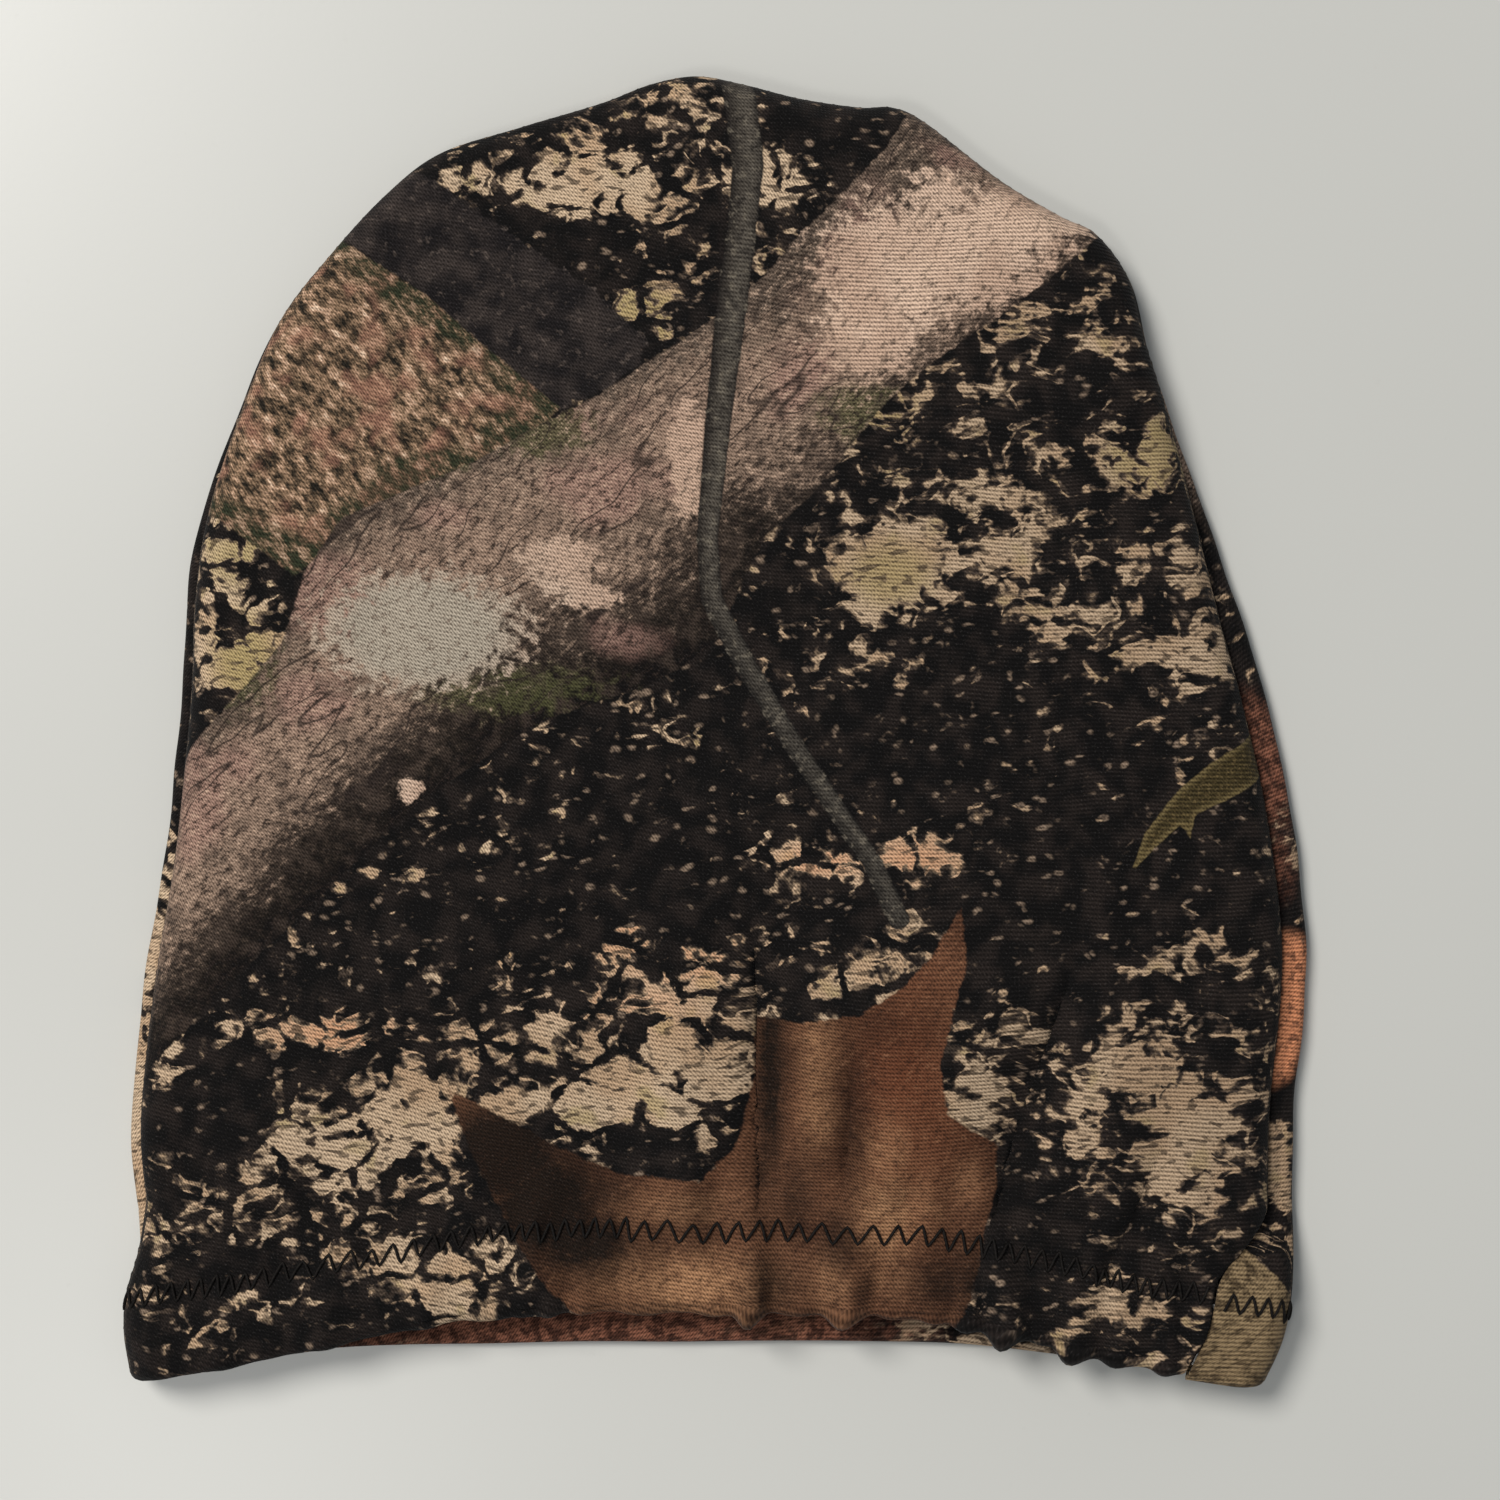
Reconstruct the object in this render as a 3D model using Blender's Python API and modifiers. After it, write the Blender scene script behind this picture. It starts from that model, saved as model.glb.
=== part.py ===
"""A stretch-knit face mask lying flat: two panels, a seam over the crown, and an elastic hem.

Metres, +Z up. X runs across the mask, Y from the hem towards the crown, Z off the table.
"""

import math

import bmesh
import bpy
import numpy as np
from mathutils import Vector
from mathutils.bvhtree import BVHTree

MM = 0.001

# Cloth, elastic and thread
CLOTH = 0.8 * MM  # thickness of the knit
ELASTIC = 0.8 * MM  # thickness of the elastic band
ELASTIC_WIDTH = 11.5 * MM
CASING_GAP = 0.5 * MM  # clear space on each side of the elastic
FOLD_R = (CLOTH + ELASTIC) / 2 + CASING_GAP  # from the middle of a cloth layer to the elastic's middle
HEM_DEPTH = 16.0 * MM  # how far the hem is turned in
THREAD_R = 0.25 * MM
FINE_THREAD_R = 0.12 * MM
AIR = 0.12 * MM  # space between a thread and the cloth it lies on

# Heights, all to the middle of the cloth
BOTTOM_Z = CLOTH / 2
TOP_Z = 11.6 * MM  # the front panel just inside its rim, and at the hem
DOME_RISE = 1.6 * MM  # how much the middle of the front stands above that
SEAM_Z = 4.45 * MM  # the back panel's seam allowance
SEAM_STEP = CLOTH + 0.3 * MM  # from the back panel's allowance to the front panel's
ALLOWANCE = 4.0 * MM

# The back panel's rolled edge above the hem, and in the hem
ROLL_BODY = (2.2 * MM, 2.0 * MM)
ROLL_HEM = (5.6 * MM, 5.6 * MM)
FRONT_ROLL = 6.0 * MM  # width of the front panel's rounded rim

# How far the seam sits inside the outer edge
SEAM_IN_CROWN = 0.6 * MM
SEAM_IN_LEFT = 2.5 * MM
SEAM_IN_RIGHT = 5.0 * MM
SEAM_IN_RIGHT_HEM = 14.0 * MM

# Outer edge in millimetres, from the left hem corner over the crown to the right hem corner
EDGE = (
    (-105.0, -115.0), (-105.6, -91.4), (-105.8, -66.2), (-102.7, -41.0), (-98.2, -8.6),
    (-95.3, 23.9), (-87.4, 54.5), (-70.7, 84.7), (-48.2, 104.0), (-5.0, 117.7),
    (29.3, 112.4), (61.7, 93.7), (77.0, 69.8), (89.6, 34.7), (99.5, 4.1),
    (105.9, -35.6), (104.1, -73.4), (103.0, -95.0), (98.0, -115.0),
)
LEFT_SHOULDER = 7  # which edge points the panels' grids turn their corners at
RIGHT_SHOULDER = 11

# Hem lines in millimetres, left to right
HEM_FRONT = ((-106, -116.8), (-75, -110.8), (-39, -104.2), (4, -103.6), (40, -105.2), (68, -111.5), (99, -118.0))
HEM_BACK = ((-106, -116.8), (-75, -112.0), (-39, -110.6), (4, -110.3), (40, -110.6), (68, -113.4), (99, -118.0))

# Rows of the panels' grids, as distances up from the hem fold
HEM_ROWS = tuple(d * MM for d in (0.0, 5.3, 10.6, 16.0, 24.0, 32.0))
NOTCH_ROW = 5  # the seam allowance starts at this row
CENTRE_CELLS = 12

# Stitches
ZIGZAG_UP = 13.0 * MM  # from the fold to the middle of the zigzag
ZIGZAG_HALF = 1.8 * MM
ZIGZAG_CYCLE = 4.3 * MM
LOOPER_CYCLE = 10.0 * MM

HINGE = (-5.0 * MM, 117.1 * MM, SEAM_Z + SEAM_STEP / 2)
ORIGIN_SHIFT = (0.0, -0.5 * MM)  # keeps the model's box centred on the origin


def clear_scene():
    for ob in list(bpy.data.objects):
        bpy.data.objects.remove(ob, do_unlink=True)


def smooth_step(value, low, high):
    t = np.clip((value - low) / (high - low), 0.0, 1.0)
    return t * t * (3 - 2 * t)


def spline(points, steps=24):
    """A Catmull-Rom curve through the points."""
    p = np.array(points, dtype=float)
    p = np.vstack([2 * p[0] - p[1], p, 2 * p[-1] - p[-2]])
    out = []
    for k in range(1, len(p) - 2):
        for t in np.arange(steps) / steps:
            a = 2 * p[k]
            b = p[k + 1] - p[k - 1]
            c = 2 * p[k - 1] - 5 * p[k] + 4 * p[k + 1] - p[k + 2]
            d = -p[k - 1] + 3 * p[k] - 3 * p[k + 1] + p[k + 2]
            out.append((a + b * t + c * t**2 + d * t**3) / 2)
    out.append(p[-2])
    return np.array(out)


class Edge:
    """The mask's outer edge, measured along its length from the left hem corner."""

    def __init__(self):
        steps = 24
        self.xy = spline(EDGE, steps) * MM
        self.xy[:, 0] += ORIGIN_SHIFT[0]
        self.xy[:, 1] += ORIGIN_SHIFT[1]
        run = np.linalg.norm(np.diff(self.xy, axis=0), axis=1)
        self.s = np.concatenate([[0.0], np.cumsum(run)])
        tangent = np.gradient(self.xy, self.s, axis=0)
        tangent /= np.linalg.norm(tangent, axis=1)[:, None]
        self.inward = np.stack([tangent[:, 1], -tangent[:, 0]], axis=1)
        self.length = self.s[-1]
        self.left_corner = self.s[LEFT_SHOULDER * steps]
        self.right_corner = self.s[RIGHT_SHOULDER * steps]

    def at(self, s, inset):
        x, y = (np.interp(s, self.s, self.xy[:, k]) for k in (0, 1))
        nx, ny = (np.interp(s, self.s, self.inward[:, k]) for k in (0, 1))
        return np.array([x + nx * inset, y + ny * inset])

    def from_hem(self, s):
        """Distance to the nearer hem corner, and whether that is the right one."""
        right = s > self.length / 2
        return (self.length - s if right else s), right


def hem_curve(points):
    curve = spline(points) * MM
    return lambda x: np.interp(x, curve[:, 0] + ORIGIN_SHIFT[0], curve[:, 1] + ORIGIN_SHIFT[1])


def seam_inset(edge, s):
    """How far inside the outer edge the seam runs."""
    up, right = edge.from_hem(s)
    shoulder = smooth_step(up, 120 * MM, 190 * MM)
    in_hem = 1 - smooth_step(up, HEM_ROWS[3], HEM_ROWS[5])
    side = SEAM_IN_RIGHT if right else SEAM_IN_LEFT
    low = SEAM_IN_RIGHT_HEM if right else 0.0
    return (side * (1 - shoulder) + SEAM_IN_CROWN * shoulder) * (1 - in_hem) + low * in_hem


def hem_share(edge, s):
    """1 in the hem casing, 0 above it."""
    up, right = edge.from_hem(s)
    return 1 - smooth_step(up, HEM_ROWS[3], HEM_ROWS[5]), right


def back_roll(edge, s):
    """The back panel's section from the seam round to the flat bottom, as (inset, z) points."""
    share, right = hem_share(edge, s)
    across = ROLL_BODY[0] * (1 - share) + ROLL_HEM[0] * share
    seam = seam_inset(edge, s)
    if seam < across:
        stop = math.acos(1 - seam / across)
    else:
        stop = math.pi / 2
    if not right:
        stop = stop * (1 - share) + math.radians(-6) * share
    height_body = (SEAM_Z - BOTTOM_Z) / (1 + math.sin(stop))
    height_hem = (TOP_Z - BOTTOM_Z) / 2
    up = height_body * (1 - share) + height_hem * share
    points = []
    if seam > across:
        for k in range(8):
            points.append((seam + (across - seam) * k / 8, BOTTOM_Z + up * (1 + math.sin(stop))))
    for k in range(25):
        angle = stop + (-math.pi / 2 - stop) * k / 24
        points.append((across * (1 - math.cos(angle)), BOTTOM_Z + up * (1 + math.sin(angle))))
    return np.array(points)


def front_roll(edge, s):
    """The front panel's section from the seam up to its flat top, as (inset, z) points."""
    share, right = hem_share(edge, s)
    seam_z = back_roll(edge, s)[0][1]
    step = SEAM_STEP * (1 - share) + (0.0 if right else 1.0 * MM) * share
    start = min(seam_z + step, TOP_Z)
    seam = seam_inset(edge, s)
    points = []
    for k in range(25):
        angle = math.pi / 2 * k / 24
        points.append((seam + FRONT_ROLL * (1 - math.cos(angle)), start + (TOP_Z - start) * math.sin(angle)))
    return np.array(points)


def resample(points, cells):
    run = np.concatenate([[0.0], np.cumsum(np.linalg.norm(np.diff(points, axis=0), axis=1))])
    want = np.linspace(0, run[-1], cells + 1)
    return np.stack([np.interp(want, run, points[:, k]) for k in (0, 1)], axis=1)


def section(edge, s, front, cells):
    """Rings from the allowance's free edge, through the seam, to the flat of the panel."""
    roll = resample(front_roll(edge, s) if front else back_roll(edge, s), cells)
    seam_in, seam_z = roll[0]
    share, right = hem_share(edge, s)
    part = 0.25 * MM * share if right else 0.0
    roll[0, 0] += part if front else -part
    level = seam_z
    if front:
        roll[0, 1] += 0.45 * MM * (1 - share)
    rings = [(seam_in + ALLOWANCE, level), (seam_in + 1.7 * MM, level), (seam_in + 0.5 * MM, level)]
    return np.array(rings + [tuple(p) for p in roll])


def panel_lattice(edge, front):
    """Positions of a panel's middle surface: rings round the rim and an even patch inside them."""
    cells = 5 if front else 8
    rim = 3 + cells
    ni = 2 * rim + CENTRE_CELLS
    nj = NOTCH_ROW + CENTRE_CELLS + rim
    hem_y = hem_curve(HEM_FRONT if front else HEM_BACK)
    fold_out = FOLD_R + CLOTH / 2
    pos = np.full((ni + 1, nj + 1, 3), np.nan)

    def place(i, j, ring, s):
        inset, z = section(edge, s, front, cells)[ring]
        x, y = edge.at(s, inset)
        up, right = edge.from_hem(s)
        corner_y = edge.xy[-1 if right else 0, 1]
        fade = 1 - smooth_step(up, 10 * MM, 90 * MM)
        y += (hem_y(x) + fold_out - corner_y) * fade
        pos[i, j] = (x, y, z)

    for ring in range(rim + 1):
        last = nj - ring
        left = list(HEM_ROWS[:NOTCH_ROW]) + list(
            np.linspace(HEM_ROWS[NOTCH_ROW], edge.left_corner, last - NOTCH_ROW + 1)
        )
        right_span = edge.length - edge.right_corner
        right = list(HEM_ROWS[:NOTCH_ROW]) + list(
            np.linspace(HEM_ROWS[NOTCH_ROW], right_span, last - NOTCH_ROW + 1)
        )
        for j in range(last + 1):
            place(ring, j, ring, left[j])
            place(ni - ring, j, ring, edge.length - right[j])
        crown = np.linspace(edge.left_corner, edge.right_corner, ni - 2 * ring + 1)
        for i in range(ring + 1, ni - ring):
            place(i, last, ring, crown[i - ring])

    a, b, top = rim, ni - rim, nj - rim
    for i in range(a + 1, b):
        u = (i - a) / (b - a)
        x = pos[a, 0, 0] * (1 - u) + pos[b, 0, 0] * u
        pos[i, 0] = (x, hem_y(x) + fold_out, pos[a, 0, 2])
    left_run = pos[a, : top + 1, 1]
    for i in range(a + 1, b):
        u = (i - a) / (b - a)
        for j in range(1, top):
            v = (left_run[j] - left_run[0]) / (left_run[top] - left_run[0])
            sides = pos[a, j] * (1 - u) + pos[b, j] * u
            ends = pos[i, 0] * (1 - v) + pos[i, top] * v
            corners = (pos[a, 0] * (1 - u) + pos[b, 0] * u) * (1 - v) + (
                pos[a, top] * (1 - u) + pos[b, top] * u
            ) * v
            pos[i, j] = sides + ends - corners
            if front:
                bump = (math.sin(math.pi * u) ** 0.7) * smooth_step(v, 0.08, 0.4) * (1 - smooth_step(v, 0.7, 1.0))
                pos[i, j, 2] += DOME_RISE * bump
    return pos, rim


def outward(pos, front):
    """Unit normals of the lattice, pointing out of the mask."""
    across = np.gradient(pos, axis=0)
    along = np.gradient(pos, axis=1)
    n = np.cross(across, along)
    n /= np.maximum(np.linalg.norm(n, axis=2), 1e-12)[:, :, None]
    return n if front else -n


def along_column(values, runs, distance):
    return np.array([np.interp(distance, runs, values[:, k]) for k in range(3)])


def casing_surface(pos, normals, i, distance, depth):
    """A point a distance up from the hem fold on column i, and a depth inside the outer cloth."""
    rows = len(HEM_ROWS)
    runs = np.concatenate([[0.0], np.cumsum(np.linalg.norm(np.diff(pos[i, :rows], axis=0), axis=1))])
    p = along_column(pos[i, :rows], runs, distance)
    n = along_column(normals[i, :rows], runs, distance)
    return p - n / np.linalg.norm(n) * depth



def material(name, colour, roughness):
    mat = bpy.data.materials.new(name)
    mat.use_nodes = True
    shader = mat.node_tree.nodes["Principled BSDF"]
    shader.inputs["Base Color"].default_value = (*colour, 1.0)
    shader.inputs["Roughness"].default_value = roughness
    shader.inputs["Metallic"].default_value = 0.0
    return mat


def grid_mesh(name, positions, drop_face):
    """A grid primitive whose points are moved to the lattice, less the faces that are cut away."""
    columns, rows = positions.shape[:2]
    bm = bmesh.new()
    bmesh.ops.create_grid(bm, x_segments=columns - 1, y_segments=rows - 1, size=1.0)
    cell = {}
    for v in bm.verts:
        i = round((v.co.x + 1) / 2 * (columns - 1))
        j = round((v.co.y + 1) / 2 * (rows - 1))
        cell[v.index] = (i, j)
        v.co = positions[i, j]
    cut = [f for f in bm.faces if drop_face([cell[v.index] for v in f.verts])]
    bmesh.ops.delete(bm, geom=cut, context="FACES")
    mesh = bpy.data.meshes.new(name)
    bm.to_mesh(mesh)
    bm.free()
    return mesh


def thicken(ob, thickness):
    mod = ob.modifiers.new("cloth thickness", "SOLIDIFY")
    mod.thickness = thickness
    mod.offset = 0.0
    mod.use_even_offset = True
    mod.use_quality_normals = True


def make_panel(name, pos, normals, rim, front):
    """The panel's outer face, the hem fold, and the turned-in cloth, as one sheet."""
    columns, rows = pos.shape[:2]
    fold = []
    for k in range(len(HEM_ROWS) - 3, -1, -1):
        distance = HEM_DEPTH * k / (len(HEM_ROWS) - 3)
        fold.append([casing_surface(pos, normals, i, distance, 2 * FOLD_R) for i in range(columns)])
    for degrees in (135, 90, 45):
        turn = math.radians(degrees)
        row = []
        for i in range(columns):
            down = pos[i, 0] - pos[i, 1]
            down /= np.linalg.norm(down)
            n = normals[i, 0]
            row.append(pos[i, 0] - n * FOLD_R * (1 - math.cos(turn)) + down * FOLD_R * math.sin(turn))
        fold.append(row)
    fold = np.array(fold).transpose(1, 0, 2)
    sheet = np.concatenate([fold, pos], axis=1)
    extra = fold.shape[1]

    def in_notch(corners):
        side = any(i < 3 or i > columns - 4 for i, j in corners)
        low = all(j <= extra + NOTCH_ROW for i, j in corners)
        return side and low

    mesh = grid_mesh(name, sheet, in_notch)
    ob = bpy.data.objects.new(name, mesh)
    return ob


def make_elastic(front_pos, front_n, back_pos, back_n):
    """One closed loop of elastic through both hem casings."""
    columns_f, columns_b = front_pos.shape[0], back_pos.shape[0]
    loop = []
    low = 1.3 * MM
    for distance in (low, low + ELASTIC_WIDTH / 2, low + ELASTIC_WIDTH):
        row = [casing_surface(front_pos, front_n, i, distance, FOLD_R) for i in range(3, columns_f - 3)]
        row += [casing_surface(back_pos, back_n, i, distance, FOLD_R) for i in range(columns_b - 4, 2, -1)]
        loop.append(row)
    loop = np.array(loop).transpose(1, 0, 2)
    closed = np.concatenate([loop, loop[:1]], axis=0)
    mesh = grid_mesh("elastic_band", closed, lambda corners: False)
    bm = bmesh.new()
    bm.from_mesh(mesh)
    bmesh.ops.remove_doubles(bm, verts=bm.verts, dist=0.01 * MM)
    bm.to_mesh(mesh)
    bm.free()
    return bpy.data.objects.new("elastic_band", mesh)


def surface_tree(ob):
    depsgraph = bpy.context.evaluated_depsgraph_get()
    return BVHTree.FromObject(ob, depsgraph)


def thread(name, points, radius, cyclic=False):
    curve = bpy.data.curves.new(name, "CURVE")
    curve.dimensions = "3D"
    curve.bevel_depth = radius
    curve.bevel_resolution = 0
    curve.use_fill_caps = True
    line = curve.splines.new("POLY")
    line.points.add(len(points) - 1)
    for slot, p in zip(line.points, points):
        slot.co = (p[0], p[1], p[2], 1.0)
    line.use_cyclic_u = cyclic
    return bpy.data.objects.new(name, curve)


def zigzag_over(tree, line, start, stop, above):
    """A zigzag on top of a panel, following the line y(x), from start to stop in x."""
    points = []
    count = int(round((stop - start) / (ZIGZAG_CYCLE / 2)))
    for k in range(count + 1):
        x = start + (stop - start) * k / count
        y = line(x) + ZIGZAG_UP + ZIGZAG_HALF * (1 if k % 2 else -1)
        if above:
            hit = tree.ray_cast(Vector((x, y, 0.05)), Vector((0, 0, -1)))[0]
        else:
            hit = tree.ray_cast(Vector((x, y, 6 * MM)), Vector((0, 0, -1)))[0]
        points.append(Vector((x, y, hit.z + THREAD_R + AIR)))
    return points


def looper(edge, front):
    """The overlock's looper thread on the free face of one seam allowance."""
    low = 36 * MM
    count = int(round((edge.length - 2 * low) / (LOOPER_CYCLE / 2)))
    points = []
    for k in range(count + 1):
        s = low + (edge.length - 2 * low) * k / count
        seam_in, z = section(edge, s, front, 5 if front else 8)[1]
        inset = seam_in - 1.7 * MM + (3.6 * MM if k % 2 else 1.7 * MM)
        offset = CLOTH / 2 + THREAD_R + AIR
        x, y = edge.at(s, inset)
        points.append(Vector((x, y, z + offset if front else z - offset)))
    return points


def needle_line(edge):
    """The needle thread in the ditch of the seam, just outside the front panel's rim."""
    low = 36 * MM
    count = int(round((edge.length - 2 * low) / (6 * MM)))
    points = []
    for k in range(count + 1):
        s = low + (edge.length - 2 * low) * k / count
        ring = section(edge, s, False, 8)[2]
        x, y = edge.at(s, seam_inset(edge, s) - 0.55 * MM)
        points.append(Vector((x, y, ring[1] + CLOTH / 2 + THREAD_R + AIR)))
    return points


def elastic_join(tree, line):
    """The small zigzag that joins the ends of the elastic, on its upper face in the back hem."""
    points = []
    rows, half = 8, 4.5 * MM
    for k in range(rows + 1):
        x = 30 * MM + half * (1 if k % 2 else -1)
        y = line(x) + 3.2 * MM + (ELASTIC_WIDTH - 3.4 * MM) * k / rows
        hit = tree.ray_cast(Vector((x, y, 2.5 * MM)), Vector((0, 0, -1)))[0]
        points.append(Vector((x, y, hit.z + FINE_THREAD_R + AIR)))
    return points


def main():
    clear_scene()
    scene = bpy.context.scene
    home = bpy.data.collections.new("face_mask")
    scene.collection.children.link(home)

    def add(ob, mat, parent=None):
        home.objects.link(ob)
        ob.data.materials.append(mat)
        if parent is not None:
            ob.parent = parent
            ob.matrix_parent_inverse = parent.matrix_world.inverted()
        return ob

    front_knit = material("front_knit", (0.16, 0.12, 0.09), 0.85)
    back_knit = material("back_knit", (0.12, 0.085, 0.065), 0.85)
    elastic_mat = material("elastic", (0.75, 0.74, 0.70), 0.7)
    dark_thread = material("dark_thread", (0.03, 0.022, 0.018), 0.6)
    overlock_thread = material("overlock_thread", (0.05, 0.04, 0.035), 0.6)
    white_thread = material("elastic_thread", (0.8, 0.8, 0.78), 0.6)

    hinge = bpy.data.objects.new("mouth_hinge", None)
    home.objects.link(hinge)
    hinge.location = HINGE
    bpy.context.view_layer.update()

    edge = Edge()
    front_pos, front_rim = panel_lattice(edge, True)
    back_pos, back_rim = panel_lattice(edge, False)
    front_n = outward(front_pos, True)
    back_n = outward(back_pos, False)

    front = add(make_panel("front_panel", front_pos, front_n, front_rim, True), front_knit, hinge)
    thicken(front, CLOTH)
    back = add(make_panel("back_panel", back_pos, back_n, back_rim, False), back_knit)
    thicken(back, CLOTH)

    band = make_elastic(front_pos, front_n, back_pos, back_n)
    add(band, elastic_mat)
    thicken(band, ELASTIC)

    bpy.context.view_layer.update()
    front_tree = surface_tree(front)
    back_tree = surface_tree(back)
    elastic_tree = surface_tree(band)

    hem_front, hem_back = hem_curve(HEM_FRONT), hem_curve(HEM_BACK)
    points = zigzag_over(front_tree, hem_front, -96 * MM, 84 * MM, True)
    add(thread("front_hem_zigzag", points, THREAD_R), dark_thread, hinge)
    points = zigzag_over(back_tree, hem_back, -90 * MM, 84 * MM, False)
    add(thread("back_hem_zigzag", points, THREAD_R), dark_thread)
    add(thread("seam_upper_looper", looper(edge, True), THREAD_R), overlock_thread, hinge)
    add(thread("seam_lower_looper", looper(edge, False), THREAD_R), overlock_thread)
    add(thread("seam_needle_thread", needle_line(edge), THREAD_R), overlock_thread)
    add(thread("elastic_join_stitch", elastic_join(elastic_tree, hem_back), FINE_THREAD_R), white_thread)


main()
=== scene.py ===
"""The face mask as it is seen: two panels of printed knit, a gathered elastic hem and its stitching."""

import math

import bpy
import numpy as np
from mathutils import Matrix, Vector


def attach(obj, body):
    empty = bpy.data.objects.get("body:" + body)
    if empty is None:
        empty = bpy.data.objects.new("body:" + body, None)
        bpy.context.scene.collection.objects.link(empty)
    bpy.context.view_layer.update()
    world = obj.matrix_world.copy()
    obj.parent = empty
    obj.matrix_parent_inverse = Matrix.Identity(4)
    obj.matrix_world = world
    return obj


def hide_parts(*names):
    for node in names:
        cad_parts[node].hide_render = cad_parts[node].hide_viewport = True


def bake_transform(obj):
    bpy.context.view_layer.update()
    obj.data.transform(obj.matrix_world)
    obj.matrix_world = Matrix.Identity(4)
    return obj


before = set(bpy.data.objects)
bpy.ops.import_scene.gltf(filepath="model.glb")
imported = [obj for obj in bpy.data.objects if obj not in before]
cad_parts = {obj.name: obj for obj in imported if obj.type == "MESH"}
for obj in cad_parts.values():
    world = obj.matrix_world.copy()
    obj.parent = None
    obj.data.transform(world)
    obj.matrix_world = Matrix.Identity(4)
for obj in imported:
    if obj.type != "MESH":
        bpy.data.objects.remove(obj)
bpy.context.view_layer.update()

MM = 0.001

# ---------------------------------------------------------------- sizes, as in part.py

CLOTH = 0.8 * MM
ELASTIC = 0.8 * MM
ELASTIC_WIDTH = 11.5 * MM
ELASTIC_UP = 1.3 * MM  # from the fold up to the elastic
FOLD_R = 1.3 * MM
HEM_DEPTH = 16.0 * MM
BOTTOM_Z = CLOTH / 2
TOP_Z = 11.6 * MM
DOME_RISE = 1.6 * MM
SEAM_Z = 4.45 * MM
SEAM_STEP = CLOTH + 0.3 * MM
ROLL_BODY = 2.2 * MM
ROLL_HEM = 5.6 * MM
FRONT_ROLL = 6.0 * MM
SEAM_IN_CROWN = 0.6 * MM
SEAM_IN_LEFT = 2.5 * MM
SEAM_IN_RIGHT = 5.0 * MM
SEAM_IN_RIGHT_HEM = 14.0 * MM
HEM_FLAT = 16.0 * MM  # below this the seam runs as it does in the casing
HEM_ABOVE = 32.0 * MM  # and above this as it does in the body
HINGE_Y, OPENING = 117.1 * MM, math.tan(math.radians(12))
SHIFT_Y = -0.5 * MM  # keeps the part's box centred on the origin

# ---------------------------------------------------------------- sizes of the cloth as it is seen

LOW_Z, HIGH_Z = 6.4 * MM, 8.45 * MM  # cloth below this stays with the back, above it lifts with the front
LIFT_SOFTNESS = 0.35 * MM  # how softly the front's folds keep above that
TUCK_FROM, TUCK_TO = 27 * MM, 33 * MM  # up the edge: the front's edge is tucked in below, sewn on above
TUCK_DROP = 0.25 * MM  # how far the front's edge drops under the back's where it is tucked
LAP_LEFT, LAP_RIGHT = -0.45 * MM, 0.2 * MM  # how far it goes in there, as the back's edge goes out
SEWN_LIFT = 0.45 * MM  # how far it stands up where it is sewn on
SHOULDER = (120 * MM, 190 * MM)  # up the edge: the seam's inset turns from the side's to the crown's
SQUARE = (20 * MM, 70 * MM)  # and insets turn from level to square to the edge
CARRY = (10 * MM, 90 * MM)  # and the rings let go of the hem's own line
HEM_STOP = math.radians(-6)  # where the back's roll starts at the left of the hem
PUFF = 0.9 * MM  # how far the cloth swells beside a seam that lies in from the edge
STATIONS = 500  # sections along the edge
ALLOWANCE = (4.0, 3.1, 2.2, 1.2, 0.5)  # mm from the seam to each ring of its allowance
SKIRT = len(ALLOWANCE)
ROLL_CELLS = {True: 20, False: 24}  # for the front and for the back, as the next two
CENTRE = {True: (210, 200), False: (110, 110)}  # cells of the flat middle, across and along
LOW_ROWS = {True: 44, False: 36}  # rows of cells up to HEM_ABOVE
NEAR_ROWS = 30  # rows above those that the hem's stitching may reach
TURN_IN_ROWS = 12  # rows of cells in the cloth that is turned in
FREE_Z = (6.5, 11.2)  # mm: the front's folds grow between these heights
CASING = (13.0, 27.0)  # mm up from the fold: the folds are held flat below, free above
GATHER_MIDDLE, GATHER_LEAN, GATHER_CLIMB = 4.0, 0.10, 60.0  # mm, the share of the way to it, after this climb
BIG_GATHER = 1.5  # mm: a gather higher than this has a dip on both sides
CRUMPLE, HEM_PUFF, DEEPEST_DIP = 0.85, 0.95, 0.35  # mm

# Outer edge in millimetres, from the left hem corner over the crown to the right hem corner
EDGE = (
    (-105, -113.8), (-106.1, -106.6), (-105.8, -100.3), (-104.1, -91.3), (-105.8, -73.3), (-105, -58.9),
    (-102.7, -40.9), (-99.5, -21.1), (-96.8, 5.8), (-95.7, 23.8), (-92.6, 40), (-86, 58), (-78.8, 74.2),
    (-69.8, 86), (-59.8, 96.8), (-49.9, 104.3), (-35.5, 109), (-21.1, 113.3), (-12.2, 116.7), (-4, 118.2),
    (4, 116.9), (14.8, 114.2), (25.6, 112.6), (31.4, 112.6), (37.4, 109.9), (50.9, 99.5), (61.6, 93.1),
    (68.3, 89.7), (74.2, 81.5), (77.3, 69.8), (83.2, 52.6), (89.5, 34.6), (94.4, 20.2), (98.5, 7.6),
    (103, -12.2), (105.9, -33.8), (105.9, -48.1), (104, -66.1), (103.6, -80.5), (103.6, -93.1),
    (101.8, -105.8), (98, -115.1),
)
LEFT_SHOULDER, RIGHT_SHOULDER = 13, 26  # points of it where the sides meet the crown
EDGE_STEPS = 24  # points of the smooth curve for each of the table's
# The two hems' folds, in millimetres
HEM_FRONT = (
    (-106, -116.8), (-75, -110.8), (-39, -104.2), (4, -103.6), (40, -105.2), (68, -111.5), (99, -118),
)
HEM_BACK = ((-106, -116.8), (-75, -112), (-39, -110.6), (4, -110.3), (40, -110.6), (68, -113.4), (99, -118))

# ---------------------------------------------------------------- small tools


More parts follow.
